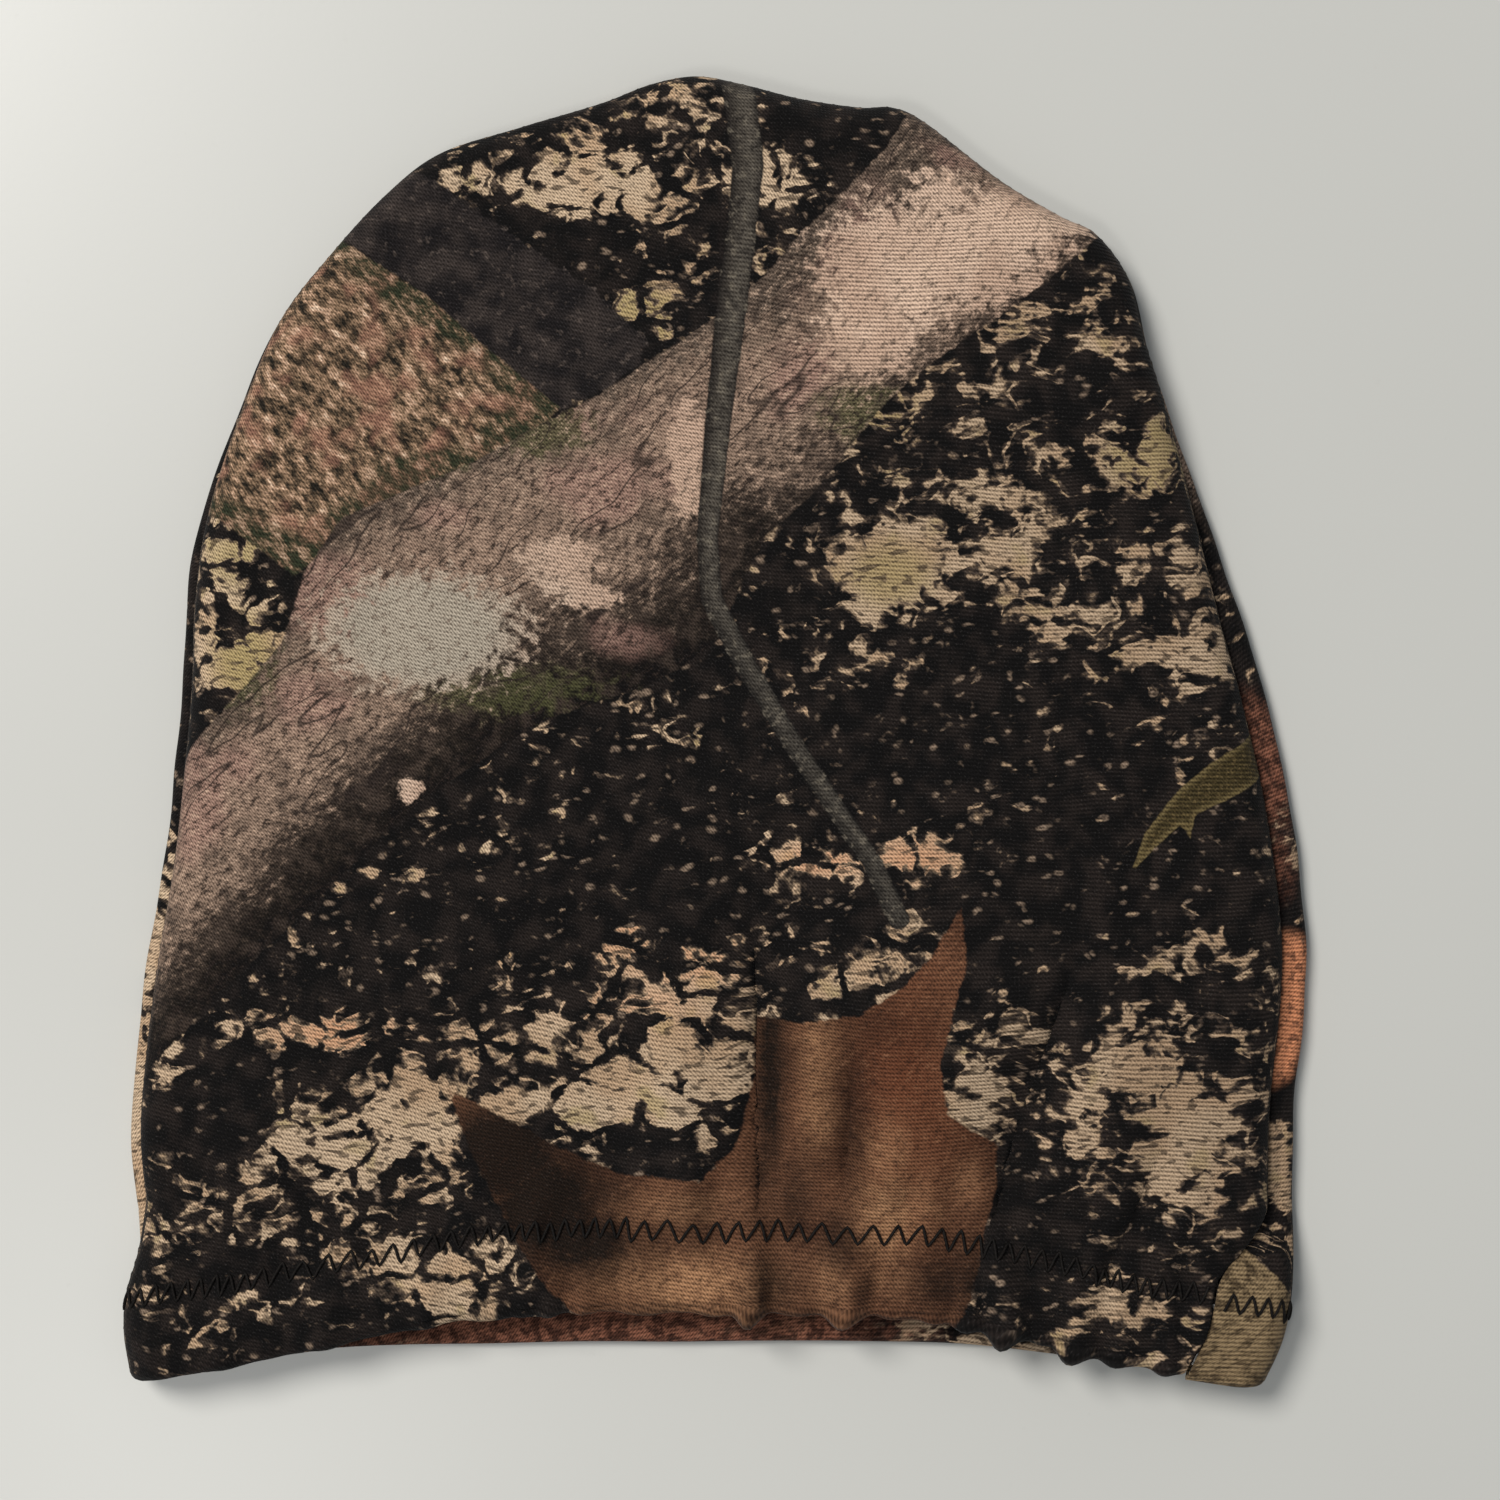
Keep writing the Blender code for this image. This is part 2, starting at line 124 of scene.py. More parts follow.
def smooth_step(value, low, high):
    t = np.clip((value - low) / (high - low), 0.0, 1.0)
    return t * t * (3 - 2 * t)


def lerp(a, b, share):
    return a * (1 - share) + b * share


def gauss(value):
    return np.exp(-(value**2))


def unit(v):
    return v / np.maximum(np.linalg.norm(v, axis=-1, keepdims=True), 1e-12)


def stack(*values):
    return np.stack(values, axis=-1)


def run_along(points):
    """The distance along a line of points, at each of them."""
    return np.concatenate([[0.0], np.cumsum(np.linalg.norm(np.diff(points, axis=0), axis=1))])


def at_distances(want, run, points):
    """Points at one or more distances along a line of points."""
    return stack(*(np.interp(want, run, values) for values in points.T))


def resample(points, cells):
    run = run_along(points)
    return at_distances(np.linspace(0, run[-1], cells + 1), run, points)


def spline(points, steps=EDGE_STEPS):
    """A Catmull-Rom curve through the points."""
    p = np.array(points, dtype=float)
    p = np.vstack([2 * p[0] - p[1], p, 2 * p[-1] - p[-2]])
    t = (np.arange(steps) / steps)[:, None]
    out = []
    for k in range(1, len(p) - 2):
        a, b = 2 * p[k], p[k + 1] - p[k - 1]
        c = 2 * p[k - 1] - 5 * p[k] + 4 * p[k + 1] - p[k + 2]
        d = -p[k - 1] + 3 * p[k] - 3 * p[k + 1] + p[k + 2]
        out.append((a + b * t + c * t**2 + d * t**3) / 2)
    return np.vstack(out + [p[-2:-1]])


def hem_curve(points):
    curve = spline(points) * MM
    return lambda x: np.interp(x, curve[:, 0], curve[:, 1] + SHIFT_Y)


HEM_LINE = {True: hem_curve(HEM_FRONT), False: hem_curve(HEM_BACK)}


class Edge:
    """The mask's outer edge, measured along its length from the left hem corner."""

    def __init__(self):
        self.xy = spline(EDGE) * MM
        self.xy[:, 1] += SHIFT_Y
        self.s = run_along(self.xy)
        self.length = self.s[-1]
        tangent = unit(np.gradient(self.xy, self.s, axis=0))
        reach = 15  # points each way that the edge's direction is averaged over
        window = np.ones(2 * reach + 1) / (2 * reach + 1)
        padded = np.pad(tangent, ((reach, reach), (0, 0)), mode="edge")
        tangent = unit(np.stack([np.convolve(padded[:, k], window, "valid") for k in (0, 1)], axis=1))
        inward = stack(tangent[:, 1], -tangent[:, 0])
        up, right = self.from_hem(self.s)
        level = stack(np.where(right, -1.0, 1.0), np.zeros(len(up)))
        self.inward = unit(lerp(level, inward, smooth_step(up, *SQUARE)[:, None]))
        self.left_corner = self.s[LEFT_SHOULDER * EDGE_STEPS]
        self.right_corner = self.s[RIGHT_SHOULDER * EDGE_STEPS]

    def at(self, s, inset):
        x, y = (np.interp(s, self.s, self.xy[:, k]) for k in (0, 1))
        nx, ny = (np.interp(s, self.s, self.inward[:, k]) for k in (0, 1))
        return x + nx * inset, y + ny * inset

    def from_hem(self, s):
        return np.where(s > self.length / 2, self.length - s, s), s > self.length / 2

    def hem_shift(self, s, x, front):
        """How far a place on the edge moves near the hem, so that the panel's fold begins there."""
        up, right = self.from_hem(s)
        corner = np.where(right, self.xy[-1, 1], self.xy[0, 1])
        return (HEM_LINE[front](x) + FOLD_R + CLOTH / 2 - corner) * (1 - smooth_step(up, *CARRY))


edge = Edge()


def in_casing(s):
    """1 beside the hem's casing, 0 above it."""
    return 1 - smooth_step(edge.from_hem(s)[0], HEM_FLAT, HEM_ABOVE)


def tucked(s):
    """1 in the mouth's corners, 0 above them."""
    return 1 - smooth_step(edge.from_hem(s)[0], TUCK_FROM, TUCK_TO)


def seam_inset(s):
    up, right = edge.from_hem(s)
    side = SEAM_IN_RIGHT if right else SEAM_IN_LEFT
    low = SEAM_IN_RIGHT_HEM if right else 0.0
    return lerp(lerp(side, SEAM_IN_CROWN, smooth_step(up, *SHOULDER)), low, in_casing(s))


def back_roll(s):
    """The back panel's section from the seam round to the flat bottom, as (inset, z) points."""
    _, right = edge.from_hem(s)
    share = in_casing(s)
    across = lerp(ROLL_BODY, ROLL_HEM, share)
    seam = seam_inset(s)
    stop = math.acos(1 - seam / across) if seam < across else math.pi / 2
    if not right:
        stop = lerp(stop, HEM_STOP, share)
    rise = lerp((SEAM_Z - BOTTOM_Z) / (1 + math.sin(stop)), (TOP_Z - BOTTOM_Z) / 2, share)
    points = []
    if seam > across:
        crest = BOTTOM_Z + rise * (1 + math.sin(stop))
        for t in np.arange(12) / 12:
            swell = PUFF * (1 - share) * math.sin(math.pi * t**0.6) * (1 - 0.3 * t)
            points.append((lerp(seam, across, t), crest + swell))
    for angle in lerp(stop, -math.pi / 2, np.arange(33) / 32):
        points.append((across * (1 - math.cos(angle)), BOTTOM_Z + rise * (1 + math.sin(angle))))
    return np.array(points)


def front_roll(s):
    """The front panel's section from the seam up to its flat top, as (inset, z) points."""
    start = min(back_roll(s)[0][1] + lerp(SEAM_STEP, -TUCK_DROP, tucked(s)), TOP_Z)
    angle = np.linspace(0, math.pi / 2, 33)
    return stack(seam_inset(s) + FRONT_ROLL * (1 - np.cos(angle)), start + (TOP_Z - start) * np.sin(angle))


def sections(front):
    """A table of the rim's section along the edge: (inset, z, flat inset) of each ring."""
    stations = np.linspace(0, edge.length, STATIONS)
    table = []
    for s in stations:
        roll = resample(front_roll(s) if front else back_roll(s), ROLL_CELLS[front])
        lap = (LAP_RIGHT if edge.from_hem(s)[1] else LAP_LEFT) * tucked(s)
        if front:
            roll[0, 1] += SEWN_LIFT * (1 - tucked(s))
        roll[:, 0] += (lap if front else -lap) * np.linspace(1, 0, len(roll)) ** 2
        inset, level = roll[0]
        way = math.atan2(*(roll[0] - roll[1])[::-1])
        way = (-abs(way) if front else abs(way)) * in_casing(s)
        skirt = [(inset + d * MM * math.cos(way), level + d * MM * math.sin(way)) for d in ALLOWANCE]
        line = np.vstack([skirt, roll])
        run = run_along(line)
        table.append(np.column_stack([line, line[-1, 0] - (run[-1] - run)]))
    return stations, np.array(table)


def coons(grid, u, v):
    """Fills a grid of points smoothly from its four sides."""
    sides = lerp(grid[:1], grid[-1:], u)
    ends = lerp(grid[:, :1], grid[:, -1:], v)
    grid[:] = sides + ends - lerp(sides[:, :1], sides[:, -1:], v)


def lattice(front):
    """The panel's middle surface and its flat print coordinates, as grids of points."""
    stations, table = sections(front)
    rim = table.shape[1] - 1
    across, along = CENTRE[front]
    low = LOW_ROWS[front]
    ni, nj = 2 * rim + across, low + along + rim
    pos = np.full((ni + 1, nj + 1, 3), np.nan)
    flat = np.full((ni + 1, nj + 1, 2), np.nan)

    def ring_points(ring, s):
        inset, z, flat_in = (np.interp(s, stations, table[:, ring, k]) for k in range(3))
        x, y = edge.at(s, inset)
        flat_x, flat_y = edge.at(s, flat_in)
        shift = edge.hem_shift(s, x, front)
        return stack(x, y + shift, z), stack(flat_x, flat_y + shift)

    lows = np.linspace(0, HEM_ABOVE, low + 1)[:low]
    for ring in range(rim + 1):
        last = nj - ring
        spans = edge.left_corner, edge.length - edge.right_corner
        left, right = (np.concatenate([lows, np.linspace(HEM_ABOVE, span, last - low + 1)]) for span in spans)
        pos[ring, : last + 1], flat[ring, : last + 1] = ring_points(ring, left)
        pos[ni - ring, : last + 1], flat[ni - ring, : last + 1] = ring_points(ring, edge.length - right)
        crown = np.linspace(edge.left_corner, edge.right_corner, ni - 2 * ring + 1)
        pos[ring : ni - ring + 1, last], flat[ring : ni - ring + 1, last] = ring_points(ring, crown)

    middle = slice(rim, ni - rim + 1), slice(0, nj - rim + 1)
    centre, centre_flat = pos[middle], flat[middle]
    u = (np.arange(across + 1) / across)[:, None, None]
    x = lerp(centre[0, 0, 0], centre[-1, 0, 0], u[:, 0, 0])
    centre[:, 0] = stack(x, HEM_LINE[front](x) + FOLD_R + CLOTH / 2, np.full_like(x, centre[0, 0, 2]))
    centre_flat[:, 0] = centre[:, 0, :2]
    rise = centre[0, :, 1]
    v = ((rise - rise[0]) / (rise[-1] - rise[0]))[None, :, None]
    coons(centre, u, v)
    coons(centre_flat, u, v)
    if front:
        bump = np.sin(np.pi * u[:, :, 0]) ** 0.7 * smooth_step(v[:, :, 0], 0.06, 0.4)
        centre[:, :, 2] += DOME_RISE * bump * (1 - smooth_step(v[:, :, 0], 0.7, 1.0))
    return pos, flat, low


def grid_normals(points):
    return unit(np.cross(np.gradient(points, axis=0), np.gradient(points, axis=1)))


def outward(pos, front):
    return grid_normals(pos) if front else -grid_normals(pos)


# ---------------------------------------------------------------- folds and gathers


def seg_distance(x, y, ax, ay, bx, by):
    dx, dy = bx - ax, by - ay
    t = np.clip(((x - ax) * dx + (y - ay) * dy) / (dx * dx + dy * dy), 0, 1)
    return np.hypot(x - ax - t * dx, y - ay - t * dy), t


def line_distance(x, y, points):
    """Distance to a polyline, the share of its length at the nearest point, and the side (+1 left)."""
    best = np.full(x.shape, 1e9)
    share = np.zeros(x.shape)
    side = np.ones(x.shape)
    runs = run_along(np.array(points, dtype=float))
    for (ax, ay), (bx, by), start, end in zip(points, points[1:], runs, runs[1:]):
        d, t = seg_distance(x, y, ax, ay, bx, by)
        near = d < best
        best = np.where(near, d, best)
        share = np.where(near, lerp(start, end, t) / runs[-1], share)
        side = np.where(near, np.sign((bx - ax) * (y - ay) - (by - ay) * (x - ax)), side)
    return best, share, side


def waves(x, y, count, short, long, seed):
    """A smooth random surface between about -1 and 1, made of cosines."""
    r = np.random.default_rng(seed)
    total = np.zeros(np.broadcast(x, y).shape)
    for _ in range(count):
        length = short * (long / short) ** r.random()
        angle = r.random() * 2 * math.pi
        phase = r.random() * 2 * math.pi
        total += np.cos((x * math.cos(angle) + y * math.sin(angle)) * 2 * math.pi / length + phase)
    return total / math.sqrt(count) / 1.4


def perlin(x, y, seed):
    """Smooth gradient noise, about -0.7 to 0.7."""
    size = 64
    angles = np.random.default_rng(seed).random((size, size)) * 2 * math.pi
    xi, yi = np.floor(x).astype(int), np.floor(y).astype(int)
    fx, fy = x - xi, y - yi

    def corner(dx, dy):
        angle = angles[(xi + dx) % size, (yi + dy) % size]
        return np.cos(angle) * (fx - dx) + np.sin(angle) * (fy - dy)

    u, v = (t * t * t * (t * (t * 6 - 15) + 10) for t in (fx, fy))
    return lerp(lerp(corner(0, 0), corner(1, 0), u), lerp(corner(0, 1), corner(1, 1), u), v)


def fractal(x, y, size, octaves, seed):
    """Layered noise, about -1 to 1, with its largest lumps of the given size."""
    total, weight, share = np.zeros(x.shape), 1.0, 0.0
    for k in range(octaves):
        total += weight * perlin(x / size, y / size, seed + k)
        share += weight
        weight, size = weight * 0.55, size / 2
    return total / share * 1.9


# Grooves of the front panel: points (x, y) in mm from the top down, depth, width, how far the
# cloth to the left leans over it, and how much wider the slope on the right is.
GROOVES = (
    (((4.5, -22), (6, -40), (5.4, -58), (5.8, -74), (6.6, -90), (7.4, -101)), 5.4, 3.4, 2, 3),
    (((66, -30), (62, -46), (56, -62), (51, -76), (48.2, -90), (46.5, -102)), 6.2, 3.6, 1.6, 2),
    (((24.5, -46), (24, -62), (23, -76), (21, -90), (20.5, -102)), 2.6, 3, 0.6, 1.5),
    (((84, -66), (76, -80), (71, -92), (66, -104)), 2, 3.6, 0.6, 1.8),
    (((92, -72), (86, -84), (79, -98), (74, -108)), 1.3, 3.4, 0.4, 1.4),
    (((-14, -72), (-22, -86), (-28, -100)), 1, 4, 0.3, 1.6),
    (((-34, -84), (-38, -94), (-40, -102)), 0.9, 3, 0.3, 1.4),
    (((35, -74), (32, -88), (29, -100)), 1.3, 3.2, 0.4, 1.6),
    (((-64, -60), (-72, -82), (-76, -104)), 0.9, 7, 0, 1.2),
    (((-40, -50), (-54, -78), (-58, -102)), 0.7, 6, 0, 1.2),
    # ridges, standing up
    (((62, -66), (56, -84), (51.8, -104)), -3, 3.4, 0, 1.1),
    (((76, -76), (69, -90), (64.2, -104)), -2.6, 3.2, 0, 1.1),
    (((88, -78), (80, -92), (73, -106)), -1.8, 3, 0, 1.1),
    (((47, -74), (45.5, -88), (44.6, -102)), -2, 2.4, 0, 1.1),
    (((14, -54), (12.5, -76), (10, -100)), -1.8, 3.2, 0, 1.1),
    (((30, -66), (27.5, -82), (24, -100)), -2, 3.4, 0, 1.1),
    (((39, -70), (37.5, -86), (36, -100)), -1.6, 2.8, 0, 1.1),
    (((-28, -74), (-32, -88), (-35, -101)), -1.5, 2.8, 0, 1.1),
    (((-16, -76), (-20, -90), (-23.5, -101)), -1.6, 3, 0, 1.1),
    (((-4, -70), (-5, -86), (-4, -101)), -1.2, 3.6, 0, 1.1),
    (((-60, -72), (-66, -88), (-70, -104)), -1.1, 4.6, 0, 1.1),
    (((-44, -76), (-48, -90), (-52, -102)), -1.2, 4, 0, 1.1),
)
# Soft swells: centre x, y, half widths, height in mm.
SWELLS = (
    (-6, -70, 8, 22, 2.6), (16, -68, 4, 24, 1.6), (32, -74, 7, 22, 2.8), (68, -66, 11, 22, 2.4),
    (42, -64, 5, 16, 1), (-46, -74, 16, 20, 1.5), (-80, -74, 14, 26, 1.4), (0, 30, 50, 60, 0.7),
    (60, 20, 26, 40, 0.7), (86, -86, 6, 14, 1.4),
)
# Gathers over the hem's fold: x, half width, how far they stand out at the fold, all in mm.
NUBS = (
    (-88, 5, 0.7), (-70, 4, 0.5), (-52, 3.6, 0.6), (-41, 2.6, 0.9), (-35, 2.2, 1), (-29.5, 2, 1),
    (-23.5, 2.4, 0.9), (-12, 4, 0.7), (0, 3.6, 1.2), (6, 2, 4), (15, 3, 0.9), (23, 2.8, 3.7), (32, 3, 0.8),
    (39, 2.8, 1), (45.2, 2.4, 1.8), (51.8, 2.5, 4.4), (58.2, 2.6, 1), (64.2, 2.5, 3.7), (72, 3, 1.8),
    (80.5, 2.6, 1.2),
)
NUBS_BACK = ((-80, 8, 0.4), (-40, 10, 0.4), (-8, 9, 0.5), (30, 9, 0.4), (60, 8, 0.5))


def gathers(x, run, front):
    """How far the gathers stand out, at a distance up from the fold (negative past it).

    Each one widens and leans towards the middle as it climbs; a big one has a dip on both sides. The
    front has fine crumples too where it is crowded, and a puff below the zigzag that pulls it in.
    """
    xm, up = x / MM, run / MM
    total = np.zeros(np.broadcast(x, run).shape)
    climb = np.clip(up, 0, GATHER_CLIMB)
    fading = 0.60 * gauss((up - 3) / 8) + 0.40 * gauss((up - 3) / 28)
    reach = np.where(up < 3, 1.0, fading)
    for x0, half, height in NUBS if front else NUBS_BACK:
        centre = lerp(x0, GATHER_MIDDLE, GATHER_LEAN * climb / GATHER_CLIMB)
        across = (xm - centre) / (half * (1 + climb / 26))
        total = total + height * gauss(across) * reach
        if front and height > BIG_GATHER:
            for side in (-1, 1):
                dip = gauss((across - side * 2.1) / 0.9)
                total = total - 0.55 * dip * gauss((up - 8) / 9)
    if front:
        crowded = smooth_step(xm, -60, -40) * (1 - smooth_step(xm, -16, -6)) + smooth_step(xm, 26, 46)
        fine = np.maximum(waves(xm, up * 0.10, 12, 4.2, 9.0, 31), -0.5)
        reach = gauss((up - 13) / 6) + 0.6 * gauss(up / 10)
        total = total + CRUMPLE * (0.3 + 0.7 * crowded) * fine * reach
        puff = gauss((up - 6.5) / 5.0) - 0.45 * gauss((up - 13.4) / 1.7)
        total = total + HEM_PUFF * puff * (0.75 + 0.25 * np.sin(xm / 7.0))
    return np.maximum(total, -DEEPEST_DIP) * MM


def lifted(z, plain):
    """Heights kept, softly, above the band the front lifts away in, wherever the plain surface is."""
    floor = np.minimum(plain, HIGH_Z + CLOTH / 2)
    over = (z - floor) / LIFT_SOFTNESS
    return floor + LIFT_SOFTNESS * np.where(over > 6, over, np.log1p(np.exp(np.minimum(over, 6))))


def relief(pos, normals, run, front):
    """Moves the outer cloth: swells, grooves, gathers and the small unevenness of a limp knit."""
    x, y, z = (pos[:, :, k] / MM for k in range(3))
    out = pos.copy()
    if front:
        free = smooth_step(z, *FREE_Z)
        drop = 0.60 * waves(x, y, 14, 26, 70, 3) + 0.24 * waves(x, y, 18, 10, 24, 4)
        for cx, cy, wx, wy, height in SWELLS:
            drop += height * gauss((x - cx) / wx) * gauss((y - cy) / wy)
        casing = 1 - smooth_step(run / MM, *CASING)
        for points, depth, width, lean, widen in GROOVES:
            d, share, side = line_distance(x, y, points)
            start = smooth_step(share, 0.0, 0.5)
            left = side < 0
            half = np.where(left, width * 0.5, width * widen)
            drop -= depth * start * (0.6 * np.exp(-np.abs(d / half) ** 1.4) + 0.4 * gauss(d / (width * widen)))
            push = lean * start * left * gauss(d / (width * 1.2))
            out[:, :, 0] += push * (1 - 0.8 * casing) * free * MM
        drop = np.where(drop < 0, drop * (1 - 0.94 * casing), drop * (1 - 0.5 * casing))
        out += normals * (drop * free * MM)[:, :, None]
    else:
        free = 0.5
        sides = smooth_step(z, 1.2, 3.0) * (1 - smooth_step(y, 60, 90))
        out += normals * (0.35 * waves(x, y, 12, 14, 40, 9) * sides * MM)[:, :, None]
    out += normals * (gathers(pos[:, :, 0], run, front) * free)[:, :, None]
    if front:
        out[:, :, 2] = lifted(out[:, :, 2], pos[:, :, 2])
    return out


# ---------------------------------------------------------------- panels


def pick(values, runs, distance):
    """Values of every column, a distance up from the fold."""
    return np.array([at_distances(distance, run, column) for run, column in zip(runs, values)])


class Panel:
    """One panel: the smooth surface, the surface with its folds, and the flat print coordinates."""

    def __init__(self, front):
        self.front = front
        self.pos, self.flat, self.low = lattice(front)
        self.normals = outward(self.pos, front)
        self.runs = np.array([run_along(column) for column in self.pos])
        self.shaped = relief(self.pos, self.normals, self.runs, front)
        self.shaped_normals = outward(self.shaped, front)

    def at(self, values, distance):
        near = self.low + NEAR_ROWS
        return pick(values[:, :near], self.runs[:, :near], distance)

    def inner(self, distance, depth):
        """Points inside the casing, a distance up from the fold and a depth below the outer cloth."""
        return self.at(self.pos, distance) - unit(self.at(self.normals, distance)) * depth

    def outer(self, distance):
        """Points and normals of the shaped outer cloth, a distance up from the fold."""
        return self.at(self.shaped, distance), unit(self.at(self.shaped_normals, distance))

    def sheet(self):
        """The whole cut piece: turned-in cloth, fold, outer face. Returns points, print and skirt rows."""
        rows, prints = [], []

        def add(row, past_fold):
            rows.append(row)
            flat = self.flat[:, 0].copy()
            flat[:, 1] -= past_fold
            prints.append(flat)

        for k in range(TURN_IN_ROWS, -1, -1):
            distance = HEM_DEPTH * k / TURN_IN_ROWS
            add(self.inner(distance, 2 * FOLD_R), math.pi * FOLD_R + distance)
        edge_row, n = self.pos[:, 0], self.normals[:, 0]
        down = unit(edge_row - self.pos[:, 1])
        x, z = edge_row[:, 0], edge_row[:, 2]
        inside = smooth_step(z / MM, *FREE_Z) if self.front else 0.5
        stand = gathers(x, np.full_like(x, -1.0 * MM), self.front) * inside
        for degrees in range(157, 0, -22):
            turn = math.radians(degrees)
            way = n * math.cos(turn) + down * math.sin(turn)
            ring = edge_row - n * FOLD_R + way * FOLD_R
            row = ring + way * (stand * math.cos(turn / 2) ** 1.2)[:, None]
            if self.front:
                row[:, 2] = np.where(z > HIGH_Z + CLOTH, lifted(row[:, 2], ring[:, 2]), row[:, 2])
            add(row, FOLD_R * turn)
        sheet = np.concatenate([np.array(rows).transpose(1, 0, 2), self.shaped], axis=1)
        flat = np.concatenate([np.array(prints).transpose(1, 0, 2), self.flat], axis=1)
        return sheet, flat, len(rows) + self.low


def new_object(name, data):
    ob = bpy.data.objects.new(name, data)
    bpy.context.scene.collection.objects.link(ob)
    return ob


def thick_mesh(name, points, attributes, keep, thickness, material):
    """A closed sheet over a grid of points: both faces and the cut edges, with point attributes."""
    ni, nj = points.shape[:2]
    count = ni * nj
    half = grid_normals(points) * thickness / 2
    both = np.concatenate([(points + half).reshape(-1, 3), (points - half).reshape(-1, 3)])
    index = np.arange(count).reshape(ni, nj)
    quads = np.stack([index[:-1, :-1], index[1:, :-1], index[1:, 1:], index[:-1, 1:]], axis=-1)[keep]
    sides = np.concatenate([quads[:, [k, (k + 1) % 4]] for k in range(4)])
    key = np.sort(sides, axis=1)
    code = key[:, 0].astype(np.int64) * count + key[:, 1]
    _, places, repeats = np.unique(code, return_index=True, return_counts=True)
    rim = sides[places[repeats == 1]]
    walls = np.stack([rim[:, 1], rim[:, 0], rim[:, 0] + count, rim[:, 1] + count], axis=1)
    faces = np.concatenate([quads, quads[:, ::-1] + count, walls])
    used = np.zeros(2 * count, bool)
    used[faces.ravel()] = True
    remap = np.cumsum(used) - 1
    mesh = bpy.data.meshes.new(name)
    mesh.from_pydata(both[used].tolist(), [], remap[faces].tolist())
    for key, values in attributes.items():
        flat = np.tile(values.reshape(count, -1), (2, 1))[used].astype(np.float32)
        kind, slot = ("FLOAT", "value") if flat.shape[1] == 1 else ("FLOAT_VECTOR", "vector")
        mesh.attributes.new(key, kind, "POINT").data.foreach_set(slot, flat.ravel())
    mesh.shade_smooth()
    mesh.materials.append(material)
    return new_object(name, mesh)


# ---------------------------------------------------------------- where the print has its features
# All in millimetres on the flat front panel. A twig's points have a half width too.

LIMB_TOP = (
    (-112, -24), (-102.1, -12.2), (-95.8, -4), (-86, 5.8), (-77, 16.6), (-73.3, 28.3), (-67, 37.9),
    (-53.5, 43.6), (-42.8, 48.1), (-31.9, 54.4), (-21.1, 59.8), (-13, 65.2), (-3.1, 71.5), (7.6, 80.5),
    (14.8, 88.6), (23.8, 97.6), (30.1, 104), (33.8, 110.2), (38, 122),
)
LIMB_LOW = (
    (88, 104), (70.6, 91.3), (66.1, 86.8), (58.9, 80.5), (49, 73.3), (40, 67), (31, 59.8), (23.8, 50.9),
    (16.6, 41.9), (8.5, 34.6), (4, 25.6), (0.4, 16.6), (-5, 12.2), (-13.9, 7.6), (-28.3, 3.1), (-39.1, -3.1),
    (-49.9, -10.3), (-57.1, -16.1), (-66.1, -24.8), (-77, -35.5), (-87.8, -45.4), (-97.6, -56.2), (-112, -70),
)
TWIG = (
    (2.1, 130, 2.9), (4.4, 110.2, 2.9), (5.5, 101.2, 2.8), (4.4, 89.5, 2.6), (2.2, 72.5, 2.7),
    (0.1, 54.4, 2.3), (-1.7, 34.6, 1.9), (-1, 23.8, 1.9), (4, 13.9, 1.9), (13, -1.3, 1.7), (20.2, -12.2, 1.7),
    (27.4, -22.9, 1.7), (33.8, -36.4, 1.9),
)
FRONT_AREAS = {
    "limb_b": (
        (-78, 96), (-60.8, 83.6), (-51.8, 77.8), (-42.8, 69.8), (-33.8, 62.5), (-28, 57.7), (-31, 54.1),
        (-42.8, 48), (-53.5, 43.3), (-66.1, 37.9), (-71.2, 31), (-75.1, 27.8), (-82, 32.9), (-88.6, 37.9),
        (-102, 42.7), (-105, 57.2), (-95.5, 78),
    ),
    "band": (
        (-72, 106), (-52.6, 99.5), (-42.8, 93.1), (-31.9, 85.4), (-21.1, 78.2), (-12.2, 69.2), (-13.9, 64.9),
        (-21.1, 60.2), (-29.2, 57.1), (-35.5, 62.5), (-44.5, 71), (-51.8, 77.8), (-60.8, 83.6), (-78, 96),
    ),
    "leaf": (
        (43.3, -31), (44.4, -40.9), (42.2, -49), (39.7, -58.9), (40.9, -68), (48.7, -73.3), (48.1, -82.3),
        (46.4, -95), (41.9, -109.3), (41.9, -140), (-52, -140), (-21.1, -107.5), (-30.5, -98.5),
        (-35.5, -90.5), (-39.1, -84.1), (-44.2, -73.3), (-47.8, -63.4), (-39.1, -67.6), (-28.3, -73.7),
        (-17.6, -78.4), (-3.1, -79.8), (2.2, -74.2), (4.4, -62.5), (5, -50.3), (14.8, -51.8), (25.6, -50.3),
        (32.9, -45.4), (38.2, -40),
    ),
    "leaf_tip": (
        (72.8, -26.2), (75.7, -17.9), (81.5, -10.3), (87.8, -5), (102.3, 3.9), (108, 2), (102.3, -5.8),
        (91.3, -12.2), (85.4, -14.8), (84.3, -19.7), (82.5, -16.8), (77.8, -21.1),
    ),
}
